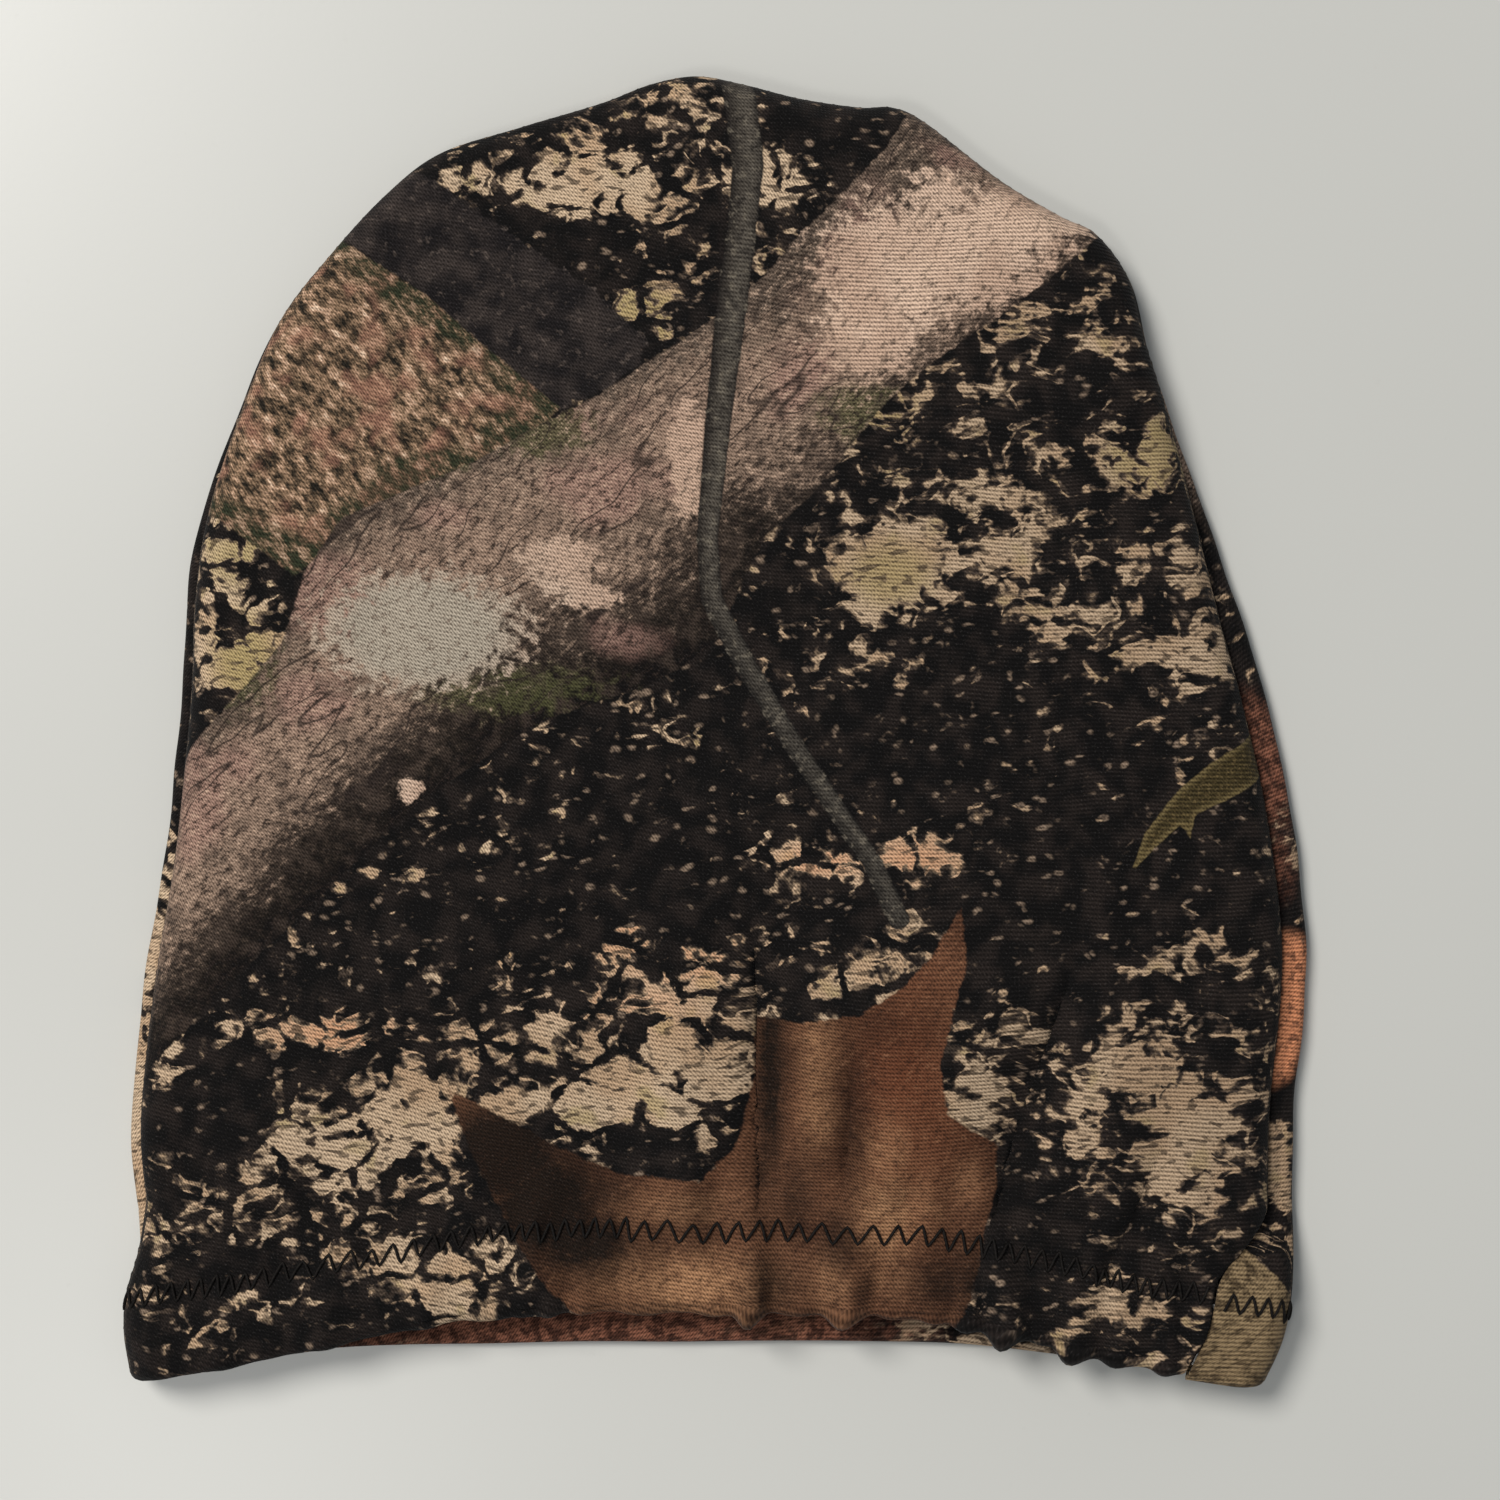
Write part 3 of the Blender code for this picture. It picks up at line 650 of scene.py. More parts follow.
# Spots: x, y, half widths, strength
FRONT_SPOTS = {
    "pale": (
        (-52.6, 18.1, 16, 9, 1.15), (-28, 31, 7.6, 3.2, 1), (-22.6, 24.2, 5, 2.2, 1),
        (-27.4, 26.6, 5.4, 2.2, 1), (31, 82.3, 12.6, 11.2, 1), (44.5, 84.7, 14.4, 9, 1),
        (53, 90.8, 11.2, 6.1, 1), (27.1, 71.5, 8.6, 9.4, 0.9), (-5.3, 49.9, 3.1, 8.3, 1),
        (-5, 41.9, 2.5, 3.6, 1), (-54.4, -10.3, 2, 1.6, 1.3), (61.6, 91.2, 7.2, 3.6, 0.8),
        (40, 95.8, 7.2, 4.7, 0.8),
    ),
    "lichen": ((-52.6, 18.1, 16, 10, 1),),
    "pink": (
        (-68, 23.8, 8.6, 7.6, 1), (-21.1, 43.6, 11.2, 6.1, 0.9), (-93.1, -12.2, 6.1, 11.2, 1),
        (-47.2, 38.2, 7.2, 3.6, 0.8), (13, 67, 6.1, 10.8, 0.8), (25.6, 90.5, 7.2, 10.8, 0.8),
        (-13.9, 16.6, 9, 4, 0.8), (-69.8, 7.6, 7.2, 7.2, 0.8), (43.6, 103, 7.2, 4.7, 0.8),
        (-86, -5, 5.4, 5.4, 0.8), (-21.1, 56.2, 10.8, 4.7, 0.6),
    ),
    "green": (
        (-37.4, 7.6, 18, 4.7, 1), (26.6, 57.1, 10.1, 6.1, 1), (-13.9, 76, 6.1, 4.7, 1),
        (-31, 54.1, 7.9, 5.4, 1.2), (-66.1, 16.6, 7.2, 2.9, 0.7), (-46.4, 7.6, 10.8, 4, 0.8),
        (-53.5, 47.2, 10.8, 2.9, 0.8), (-51.8, 77.8, 9, 4, 0.9), (-84.1, 31, 10.8, 7.2, 0.8),
        (-84.1, 13, 7.2, 10.8, 0.9), (33, 50, 6.5, 5.5, 1.1), (31, 28, 9, 7, 0.9), (78.5, 49.5, 9, 7, 1.3),
        (60, 44, 5, 3, 0.7), (-11, 73, 5, 5, 1),
    ),
    "cream": (
        (-21.1, 96.8, 13, 5.4, 1.1), (8, 97.3, 6.1, 4.7, 0.75), (-5, 110.6, 11.9, 5.4, 0.4),
        (-28.3, 104.8, 10.8, 3.6, 0.3), (-42.8, 97.6, 7.9, 3.6, 0.4), (-13, 77.8, 4.7, 6.1, 0.5),
        (-88.5, 31, 5.8, 5.4, 0.6), (-85, 13.9, 8.3, 7.2, 0.8), (-13.9, -1.7, 12.6, 3.2, 0.35),
        (-28.3, -6.8, 10.8, 2.5, 0.25), (31, 30.1, 8.6, 7.6, 1.05), (43.6, 42.8, 10.8, 4.3, 0.55),
        (52.6, 31, 9, 6.1, 0.6), (77.8, 48.7, 8.3, 4.7, 0.75), (68.8, 49.9, 12.6, 2.2, 0.5),
        (83.2, 13.9, 9.4, 4.7, 0.8), (86.8, 28.3, 6.5, 6.1, 0.5), (67, 23.8, 16.2, 7.2, 0.35),
        (61.6, 69.8, 16.2, 2.5, 0.35), (68.8, 74.2, 12.6, 1.8, 0.45), (43.6, 59.8, 14.4, 5.4, 0.3),
        (74.2, 59.8, 10.8, 2.5, 0.4), (-52.8, -68.8, 8.6, 6.5, 1.15), (-69.8, -73.3, 7.6, 5.8, 1),
        (-28.3, -54.4, 8.6, 6.1, 0.9), (-19.3, -64.3, 11.9, 5, 1.1), (-5, -57.1, 9, 10.8, 1.05),
        (-67, -53.5, 7.2, 3.2, 0.7), (-42.8, -55.4, 5.8, 4.3, 0.6), (-87.8, -82.3, 12.6, 6.5, 0.45),
        (74.2, -60.8, 10.8, 7.9, 0.8), (83.2, -70.6, 10.1, 10.1, 0.8), (68, -75.1, 7.9, 5.4, 0.5),
        (52.6, -53.5, 9, 4.7, 0.45), (86.8, -85, 5.4, 6.1, 0.7), (46.4, -64.3, 4.3, 9.4, 0.6),
        (-46.4, -100.3, 8.3, 6.1, 0.95), (-13.9, -40.9, 16.2, 4.3, 0.4), (23.8, -40, 12.6, 7.2, 0.4),
        (18.4, -22.9, 10.8, 2.9, 0.65), (35.5, -22.6, 7.9, 3.2, 0.8), (-80.5, -53.5, 9, 3.2, 0.4),
        (-58.9, -80.5, 10.8, 5.4, 0.45), (22.1, 11.2, 10.8, 4, 0.3), (-98.5, -55.4, 2.9, 6.1, 0.9),
        (81.5, -39.1, 10.8, 5.4, 0.4), (-69.8, -91.3, 10.8, 4.3, 0.35), (-93.1, -104, 9, 4.3, 0.35),
        (70.6, -102.1, 9, 3.6, 0.55), (61.6, -110.2, 7.2, 3.6, 0.4), (4, -44.5, 4.7, 3.6, 0.5),
        (27.4, 20.2, 9, 3.6, 0.5), (-33.5, -66.5, 8, 3, 1.2), (-59, -94, 6, 3, 0.6),
    ),
    "dark": (
        (-13.9, -12.2, 16.2, 10.8, 1), (33.8, 1.3, 19.8, 10.8, 1), (66.1, -24.8, 12.6, 23.4, 1),
        (52.6, -35.5, 10.8, 12.6, 1), (-13.9, -28.3, 10.8, 7.2, 1), (-92.2, -68, 7.2, 9, 1),
        (-46.4, -35.5, 12.6, 5.4, 0.8), (29.2, 108.5, 10.8, 5.4, 1), (61.6, 59.8, 10.8, 4.3, 0.8),
        (79.6, 61.6, 10.8, 2.5, 0.8), (-21.1, 88.6, 16.2, 2.9, 0.8), (-31.9, -62.5, 2.9, 7.2, 0.6),
        (52.6, -89.5, 9, 9, 1), (-69.8, -24.8, 5.4, 3.6, 0.6), (83.2, -26.6, 10.8, 9, 0.8),
    ),
    "orange": (
        (-67, -53.5, 10.8, 4, 1), (35.5, -22.6, 9, 4, 1), (18.4, -22.9, 7.2, 2.9, 1),
        (-21.1, -35.5, 21.6, 4.3, 0.7), (-5, -40.9, 10.8, 4.3, 0.7), (-13.9, -48.1, 10.8, 3.6, 0.6),
    ),
    # Light places on the leaf: partly its printed light, partly painted light on the lit sides of its folds.
    "leaf_l": (
        (30, -86, 4, 6, 1), (18, -57, 2.6, 11, 0.5), (18, -67, 2.4, 6, 0.55), (30, -75, 4, 5, 0.45),
        (36, -84, 4, 5, 0.35), (-4, -98, 10, 3.8, 0.95), (-8, -85, 9, 3, 0.3), (20, -98, 3, 4, 0.45),
        (31, -97, 4, 3, 0.3), (44, -80, 2.5, 3.5, 0.35), (-14, -97, 8, 4, 0.45),
    ),
    # Dark places on the leaf: partly its printed dark, partly painted shade of the folds beside the grooves.
    "leaf_d": (
        (-38, -75, 9, 9, 1.5), (-31, -84, 9, 9, 1.4), (-24, -91, 9, 5, 1.2), (9.5, -62, 2.8, 19, 1.1),
        (24, -71, 3.2, 15, 0.65), (14, -82, 3, 8, 0.65), (22, -90, 3.5, 6, 0.7), (8, -78, 3, 6, 0.8),
        (10, -98, 5, 4, 0.7), (40, -98, 5, 5, 0.75), (46, -98, 5, 9, 0.8), (29, -52, 6, 4, 0.4),
        (-22, -82, 6, 4, 0.7), (38, -52, 3, 5, 0.3),
    ),
    "leaf_h": ((34, -64, 9, 20, 1), (40, -76, 6, 8, 0.6)),
}


def spots(x, y, table):
    total = np.zeros(x.shape)
    for cx, cy, wx, wy, strength in table:
        d2 = ((x - cx) / wx) ** 2 + ((y - cy) / wy) ** 2
        total = np.maximum(total, strength * np.exp(-0.7 * d2))
    return total


def polygon(x, y, points):
    """Signed distance to a closed outline, positive inside."""
    best = np.full(x.shape, 1e9)
    inside = np.zeros(x.shape, bool)
    for (ax, ay), (bx, by) in zip(points, points[1:] + points[:1]):
        d, _ = seg_distance(x, y, ax, ay, bx, by)
        best = np.minimum(best, d)
        crosses = (ay > y) != (by > y)
        at = (bx - ax) * (y - ay) / (by - ay + 1e-12) + ax
        inside ^= crosses & (x < at)
    return np.where(inside, best, -best)


def across_limb(x, y, top, low):
    """0 at the limb's lower side, 1 at its upper side."""
    up, down = (line_distance(x, y, side)[0] for side in (top, low))
    return down / (up + down)


def print_place(flat):
    return flat[:, :, 0] / MM, (flat[:, :, 1] - SHIFT_Y) / MM


def front_print(flat):
    x, y = print_place(flat)
    line = np.array(TWIG)
    run = run_along(line[:, :2])
    twig, share, side = line_distance(x, y, [p[:2] for p in TWIG])
    half = np.interp(share, run / run[-1], line[:, 2])
    return {
        **{name: polygon(x, y, outline) for name, outline in FRONT_AREAS.items()},
        **{name: spots(x, y, table) for name, table in FRONT_SPOTS.items()},
        "limb": polygon(x, y, LIMB_TOP + LIMB_LOW),
        "limb_t": across_limb(x, y, LIMB_TOP, LIMB_LOW) + 0.3 * smooth_step(x, -10, 30),
        "twig": half - twig - 6 * smooth_step(share, 0.985, 1.0),
        "twig_t": twig * side / half,
        "lichen": np.clip(1.5 * spots(x, y, FRONT_SPOTS["lichen"]), 0, 1),
        "streak": smooth_step(x + 0.4 * y, -10, 60) * (1 - smooth_step(y, 84, 96)) + (y < -45) * 0.35,
    }


# The back panel's own features, on its flat coordinates.
BACK_LIMB_TOP = ((-130, 60), (-60, 30), (0, 34), (60, 66), (120, 88))
BACK_LIMB_LOW = ((120, 40), (60, 22), (0, -8), (-60, -14), (-130, 10))
BACK_LOBE = ((117.5, -92.5), (125, -91), (130, -130), (97, -130), (100.5, -110), (108.5, -101.5))
BACK_SPOTS = {
    "cream": (
        (112, -78, 6, 9, 0.9), (106, 30, 5, 14, 0.15), (-107, -74, 7, 20, 1.5), (-106, -36, 6, 12, 0.9),
        (13, -112, 4, 3, 1.3), (-20, 20, 20, 12, 0.6), (40, 60, 18, 14, 0.6), (-50, -40, 20, 14, 0.7),
        (60, -50, 16, 12, 0.6), (52, -112, 9, 4, 0.7), (34, -113, 7, 3, 0.6),
    ),
    "dark": (
        (110, 28, 8, 20, 1.2), (112, -66, 7, 5, 1), (-106, 10, 8, 20, 1), (0, 0, 20, 14, 0.8),
        (26, -112, 5, 5, 1),
    ),
    "orange": ((112, -49, 8, 12, 1.6), (13, -112, 6, 4, 0.6)),
    "red": (
        (-15, -112, 34, 9, 1.2), (30, -112, 16, 6, 0.4), (-60, -112, 16, 6, 0.5), (109, -2, 8, 12, 0.9),
        (113, -22, 7, 9, 0.5),
    ),
    "patch": ((113, -50, 9, 13, 1.5),),
    "pale": ((-40, 10, 14, 8, 1), (50, 48, 14, 9, 1)),
    "pink": ((0, 12, 18, 9, 1),),
    "green": ((30, 24, 18, 6, 1),),
    # A light place on the lobe: a painted highlight on its fold, over its printed tan.
    "leaf_l": ((112, -104, 6, 10, 0.5),),
}


def back_print(flat):
    x, y = print_place(flat)
    limb = polygon(x, y, BACK_LIMB_TOP + BACK_LIMB_LOW)
    return {
        **{name: np.full(x.shape, -50.0) for name in ("limb_b", "band", "leaf_tip", "twig")},
        **{name: spots(x, y, table) for name, table in BACK_SPOTS.items()},
        "limb": np.minimum(limb, 92 - np.abs(x)),  # it ends before the sides, where the photo shows bark
        "limb_t": across_limb(x, y, BACK_LIMB_TOP, BACK_LIMB_LOW),
        "leaf": polygon(x, y, BACK_LOBE),
        "streak": smooth_step(x, -20, 40),
    }


# ---------------------------------------------------------------- materials


class Value:
    """A result of a material's nodes, with which formulas are written as for a number."""

    def __init__(self, graph, socket):
        self.graph, self.socket = graph, socket

    def __add__(self, other):
        return self.graph.math("ADD", self, other)

    def __sub__(self, other):
        return self.graph.math("SUBTRACT", self, other)

    def __rsub__(self, other):
        return self.graph.math("SUBTRACT", other, self)

    def __mul__(self, other):
        if isinstance(other, tuple):
            return self.graph.node("VectorMath", {0: self, 1: other}, operation="MULTIPLY")
        return self.graph.math("MULTIPLY", self, other)

    def __abs__(self):
        return self.graph.math("ABSOLUTE", self)

    def clamped(self):
        """The same value, kept between 0 and 1."""
        self.socket.node.use_clamp = True
        return self

    def crest(self):
        """The value's cosine, between 0 and 1."""
        return self.graph.math("COSINE", self) * 0.5 + 0.5

    def step(self, low, high, to_low=0.0, to_high=1.0):
        """A smooth step, from one result at low to another at high."""
        inputs = {"Value": self, "From Min": low, "From Max": high, "To Min": to_low, "To Max": to_high}
        return self.graph.node("MapRange", inputs, "Result", interpolation_type="SMOOTHSTEP")


class Graph:
    """A material, with short names for the nodes that it is built from."""

    def __init__(self, name):
        self.material = bpy.data.materials.new(name)
        self.material.use_nodes = True
        self.tree = self.material.node_tree

    def link(self, value, socket):
        if isinstance(value, Value):
            self.tree.links.new(value.socket, socket)
        elif isinstance(value, tuple) and len(socket.default_value) > len(value):
            socket.default_value = (*value, 1.0)
        else:
            socket.default_value = value

    def node(self, kind, inputs, output=0, **settings):
        """A new node with its settings and inputs, as the Value of one of its outputs."""
        node = self.tree.nodes.new("ShaderNode" + kind)
        for name, value in settings.items():
            setattr(node, name, value)
        for key, value in inputs.items():
            self.link(value, node.inputs[key])
        return Value(self, node.outputs[output])

    def math(self, op, a, b=0.0):
        return self.node("Math", {0: a, 1: b}, operation=op)

    def parts(self, vector):
        outputs = self.node("SeparateXYZ", {0: vector}).socket.node.outputs
        return [Value(self, socket) for socket in outputs]

    def turn(self, vector, degrees):
        inputs = {"Vector": vector, "Angle": math.radians(degrees)}
        return self.node("VectorRotate", inputs, rotation_type="Z_AXIS")

    def blend(self, factor, a, b):
        return self.node("Mix", {0: factor, 2: a, 3: b})

    def field(self, name):
        """A number that the mesh carries at its points."""
        return self.node("Attribute", {}, "Fac", attribute_name=name)

    def place(self, name):
        """A vector that the mesh carries at its points."""
        return self.node("Attribute", {}, "Vector", attribute_name=name)

    def noise(self, vector, scale, detail, roughness, distortion=0.0):
        inputs = {"Scale": scale, "Detail": detail, "Roughness": roughness, "Distortion": distortion}
        return self.node("TexNoise", {"Vector": vector, **inputs}, "Fac")

    def cells(self, vector, scale, feature):
        return self.node("TexVoronoi", {"Vector": vector, "Scale": scale}, "Distance", feature=feature)

    def mix(self, factor, a, b, blend="MIX"):
        return self.node("Mix", {0: factor, 6: a, 7: b}, 2, data_type="RGBA", blend_type=blend)

    def layers(self, colour, *layers):
        """Paints layers of (amount, colour) over a colour, one after another."""
        for amount, over in layers:
            colour = self.mix(amount, colour, over)
        return colour

    def ramp(self, value, stops):
        ramp = self.node("ValToRGB", {0: value})
        elements = ramp.socket.node.color_ramp.elements
        while len(elements) < len(stops):
            elements.new(0.5)
        for element, (at, colour) in zip(elements, stops):
            element.position = at
            element.color = (*colour, 1.0)
        return ramp

    def surface(self, colour, height, strength, depth, **finish):
        """Gives the shader its colour, its bump and its own constants, and returns the material."""
        inputs = self.tree.nodes["Principled BSDF"].inputs
        bump = {"Strength": strength, "Distance": depth, "Height": height}
        self.link(colour, inputs["Base Color"])
        self.link(self.node("Bump", bump), inputs["Normal"])
        for name, value in finish.items():
            inputs[FINISH[name]].default_value = value
        return self.material


FINISH = {
    "rough": "Roughness",
    "shine": "Specular IOR Level",
    "sheen": "Sheen Weight",
    "sheen_rough": "Sheen Roughness",
}
BLACK = (0.0035, 0.0030, 0.0030)
CREAM_A = (0.50, 0.375, 0.255)
CREAM_B = (0.43, 0.295, 0.185)
CREAM_GREEN = (0.335, 0.262, 0.112)
CREAM_ORANGE = (0.56, 0.285, 0.155)
RIB = 0.76  # mm from one course of the knit to the next
WALE = 0.66  # mm from one stitch to the next
CORD, PICK = 1.1, 0.5  # mm from one cord of the elastic to the next, and along it
MAIN_ANGLE, UPPER_ANGLE = -41, 48  # degrees that turn each limb's length to x


def let_out(points, flat, front):
    """Print coordinates with the length the rim gains when the mouth opens, so that it is no smear then."""
    share = smooth_step(points[:, :, 2], LOW_Z, HIGH_Z)
    gain = np.clip(HINGE_Y - points[:, :, 1], 0, None) * OPENING
    rim = SKIRT + ROLL_CELLS[front] + 2
    ring = np.minimum(np.arange(len(points)), np.arange(len(points))[::-1])[:, None]
    out = flat.copy()
    out[:, :, 0] += np.sign(flat[:, :, 0]) * gain * (1 - share if front else share) * (ring < rim)
    return out


def print_noise(flat, pulled, seed):
    """Slow variations of the print, and the knit's own directions, as point attributes."""
    x, y = pulled[:, :, 0] / MM, pulled[:, :, 1] / MM
    warp = [c + 1.3 * fractal(x, y, 9.0, 2, seed + k) for k, c in ((0, x), (10, y))]
    tone = [fractal(x, y, size, 3, seed + k) for k, size in ((20, 17.0), (30, 8.0), (40, 5.0))]
    x, y = flat[:, :, 0] / MM, flat[:, :, 1] / MM
    drift = 1.6 * fractal(x, y, 38.0, 2, seed + 50)
    tilt = -0.26 * 18 * np.log1p(np.exp(-(x - 4) / 18))  # the courses slope up to the left
    return {
        "warp": stack(*warp, np.full(x.shape, float(seed))),
        "tone": stack(*tone),
        "knit": stack(x + 0.5 * drift, y + tilt + drift, 0 * x),
    }


class KnitPrint(Graph):
    """The printed knit. Each part of the print is a method that paints it over the colour so far."""

    def __init__(self, name, is_back):
        super().__init__(name)
        self.is_back = is_back
        self.p = self.place("cloth") * (1000.0, 1000.0, 1000.0)  # mm on the flat cloth
        self.q = self.place("warp")
        self.slow, self.hue, self.mottle = self.parts(self.place("tone"))
        self.fine = self.noise(self.p, 1.15, 2, 0.62)
        self.lump = self.noise(self.q, 0.50, 3, 0.62)
        self.rough = self.lump - 0.5
        self.grain = self.noise(self.turn(self.p, MAIN_ANGLE) * (0.55, 1.0, 1.0), 0.80, 4, 0.80)
        self.streak = self.field("streak")

    def lay(self, under, over, inside, ragged, soft):
        """Lays a colour over another inside an outline, with a ragged and soft edge, in mm."""
        return self.mix((inside + self.rough * ragged).step(-soft, soft), under, over)

    def bark(self):
        """Rounded cream scales with soft dark gaps, and dots and dashes between them."""
        q, streak = self.q, self.streak
        curly = self.noise(q * (0.92, 1.08, 1.0), 0.27, 2, 0.60)
        streaky = self.noise(q * (0.70, 1.20, 1.0), 0.30, 2.4, 0.64)
        scales = self.cells(q * (0.84, 1.0, 1.0), 0.150, "F1")
        grains = self.cells(q * (0.84, 1.15, 1.0), 0.42, "F1")
        level = self.blend(streak, curly, streaky) + self.field("cream") * 0.50 - self.field("dark") * 0.18
        level += (self.fine - 0.5) * 0.13 + self.mottle * 0.055 + self.hue * 0.030
        level += (0.46 - scales) * 0.36 + (0.47 - grains) * 0.18
        crack = self.cells(q * (0.80, 1.05, 1.0), 0.118, "DISTANCE_TO_EDGE") + self.rough * 0.22
        level -= crack.step(0.11, 0.02, 0.0, 0.25) * streak.step(0.9, 0.3, 0.35, 1.0)
        worm = self.noise(q * (0.85, 1.1, 1.0), 0.25, 0.8, 0.5, 0.35)
        level += abs(worm - 0.5).step(0.060, 0.024) * level.step(0.44, 0.56, 0.0, 0.11)
        tint = ((level - 0.545) * 5.0).clamped()
        dash = self.noise(q * (0.60, 1.45, 1.0), 0.66, 0.5, 0.5).step(0.58, 0.66)
        cream = self.layers(
            CREAM_A,
            (self.slow.step(-0.25, 0.3), CREAM_B),
            (self.hue.step(0.25, 0.60) * 0.6, CREAM_GREEN),
            (self.field("green").step(0.3, 0.9, 0.0, 0.85), CREAM_GREEN),
            ((self.field("orange") * 0.85).clamped(), CREAM_ORANGE),
            (tint.step(0.88, 0.60), (0.20, 0.145, 0.095)),
            (streak * 0.40, (0.215, 0.148, 0.094)),
            (dash * 0.80, (0.060, 0.042, 0.028)),
            (self.fine.step(0.50, 0.68, 0.0, 0.35), (0.22, 0.155, 0.098)),
        )
        return self.layers(
            BLACK,
            (self.mottle.step(-0.3, 0.5), (0.015, 0.011, 0.0095)),
            (streaky.step(0.49, 0.59) * grains.step(0.40, 0.16) * 0.95, (0.20, 0.145, 0.104)),
            (tint.step(0.02, 0.42, 0.0, 0.9), (0.050, 0.036, 0.027)),
            (tint.step(0.40, 0.66), cream),
        )

    def patches(self, colour):
        """Red and orange patches, on the back panel."""
        red = self.mix(self.lump.step(0.40, 0.60), (0.055, 0.022, 0.014), (0.21, 0.085, 0.052))
        orange = self.mix(self.lump.step(0.36, 0.52), (0.20, 0.082, 0.045), (0.56, 0.225, 0.112))
        red_here, orange_here = self.field("red").step(0.2, 0.6), self.field("patch").step(0.5, 0.8)
        return self.layers(colour, (red_here * 0.96, red), (orange_here * 0.95, orange))

    def band(self, colour):
        """A smooth dark band."""
        dark = self.layers(
            (0.009, 0.0075, 0.0080),
            (self.mottle.step(-0.5, 0.7), (0.036, 0.028, 0.025)),
            (self.lump.step(0.54, 0.7) * 0.5, (0.100, 0.078, 0.066)),
        )
        return self.mix((self.field("band") + self.rough * 2.8).step(-0.25, 0.35), colour, dark)

    def upper_limb(self, colour):
        """A limb flecked tan, pink and green, drawn along its length."""
        inside = self.field("limb_b")
        flecks = self.noise(self.turn(self.p, UPPER_ANGLE) * (0.40, 1.0, 1.0), 0.55, 4, 0.70)
        flecks += self.rough * 0.45 + self.mottle * 0.05
        green = self.field("green") + inside.step(8.0, 0.5, 0.0, 0.9)
        limb = self.layers(
            self.ramp(flecks, (
                (0.36, (0.012, 0.010, 0.007)), (0.45, (0.070, 0.048, 0.030)), (0.54, (0.225, 0.145, 0.088)),
                (0.62, (0.42, 0.27, 0.18)), (0.70, (0.62, 0.46, 0.33)),
            )),
            (self.hue.step(0.0, 0.4) * 0.5, (0.36, 0.175, 0.120)),
            (green.step(0.35, 1.0) * flecks.step(0.42, 0.62, 0.85, 0.35), (0.022, 0.028, 0.014)),
        )
        return self.lay(colour, limb, inside, 1.4, 0.3)

    def main_limb(self, colour):
        """The broad limb: dark below, tan above, with pink, green, pale and split places."""
        grain = self.grain
        across = self.field("limb_t") + self.hue * 0.09 + self.rough * 0.55 + (grain - 0.5) * 0.35
        pink = self.field("pink") + self.slow * 0.55
        green = self.field("green") + self.rough * 1.6
        split = self.noise(self.turn(self.q, MAIN_ANGLE) * (0.16, 1.0, 1.0), 0.12, 1, 0.5)
        pale = self.layers(
            (0.56, 0.405, 0.305),
            (self.slow.step(-0.2, 0.25), (0.47, 0.325, 0.240)),
            (self.field("lichen"), (0.36, 0.315, 0.250)),
            (grain.step(0.47, 0.38, 0.0, 0.70), (0.16, 0.115, 0.085)),
        )
        limb = self.layers(
            self.ramp(across, (
                (0.0, (0.004, 0.003, 0.003)), (0.13, (0.011, 0.008, 0.006)), (0.27, (0.046, 0.033, 0.025)),
                (0.46, (0.222, 0.154, 0.113)), (0.74, (0.262, 0.178, 0.131)), (0.92, (0.170, 0.120, 0.088)),
                (1.0, (0.090, 0.066, 0.050)),
            )),
            (pink.step(0.30, 0.80) * 0.55, (0.31, 0.180, 0.145)),
            (green.step(0.40, 0.85) * 0.72, (0.072, 0.072, 0.030)),
            (grain.step(0.51, 0.66, 0.0, 0.62) * across.step(0.15, 0.5), (0.50, 0.355, 0.26)),
            (grain.step(0.49, 0.38, 0.0, 0.85), (0.022, 0.015, 0.012)),
            (abs(split - 0.5).step(0.001, 0.010, 1.0, 0.0) * 0.8, (0.020, 0.014, 0.012)),
            (self.mottle.step(0.0, -0.45, 0.0, 0.45), (0.062, 0.044, 0.034)),
            ((self.field("pale") + self.rough * 1.7).step(0.34, 0.66) * 0.94, pale),
        )
        return self.lay(colour, limb, self.field("limb"), 1.4, 0.25)

    def leaf(self, colour):
        """A brown leaf on the front panel, with painted fold light and shade among its printed light and dark;
        the back panel's is grey-green, with a painted highlight on its fold.
        """
        blotch = self.rough * 3.2 + 1.0
        shade = (self.field("leaf_d") * (blotch * -0.35 + 1.35)).clamped()
        leaf = self.layers(
            (0.060, 0.026, 0.014),
            (self.slow.step(-0.35, 0.35), (0.122, 0.055, 0.029)),
            ((self.field("leaf_h") * 0.8).clamped(), (0.125, 0.043, 0.020)),
            # Printed light of the leaf, with painted light on its folds.
            ((self.field("leaf_l") * blotch).clamped(), (0.33, 0.175, 0.090)),
            (self.grain.step(0.52, 0.68, 0.0, 0.35), (0.30, 0.150, 0.080)),
            # Printed dark of the leaf, with painted shade of its folds.
            (shade * 0.95, (0.007, 0.0045, 0.003)),
            (self.grain.step(0.47, 0.36, 0.0, 0.55), (0.026, 0.012, 0.007)),
        )
        if self.is_back:
            light = (self.lump + self.field("leaf_l") * 0.2).step(0.40, 0.62)
            leaf = self.mix(light, (0.060, 0.041, 0.022), (0.205, 0.146, 0.080))
        return self.lay(colour, leaf, self.field("leaf"), 1.68, 0.3)

    def leaf_tip(self, colour):
        """An olive leaf tip with a lighter rim."""
        inside = self.field("leaf_tip") - 0.35
        tip = self.layers(
            (0.125, 0.094, 0.040),
            (inside.step(0.1, 1.3), (0.042, 0.031, 0.012)),
            (self.fine.step(0.48, 0.66, 0.0, 0.7), (0.115, 0.082, 0.034)),
        )
        return self.lay(colour, tip, inside, 0.7, 0.2)

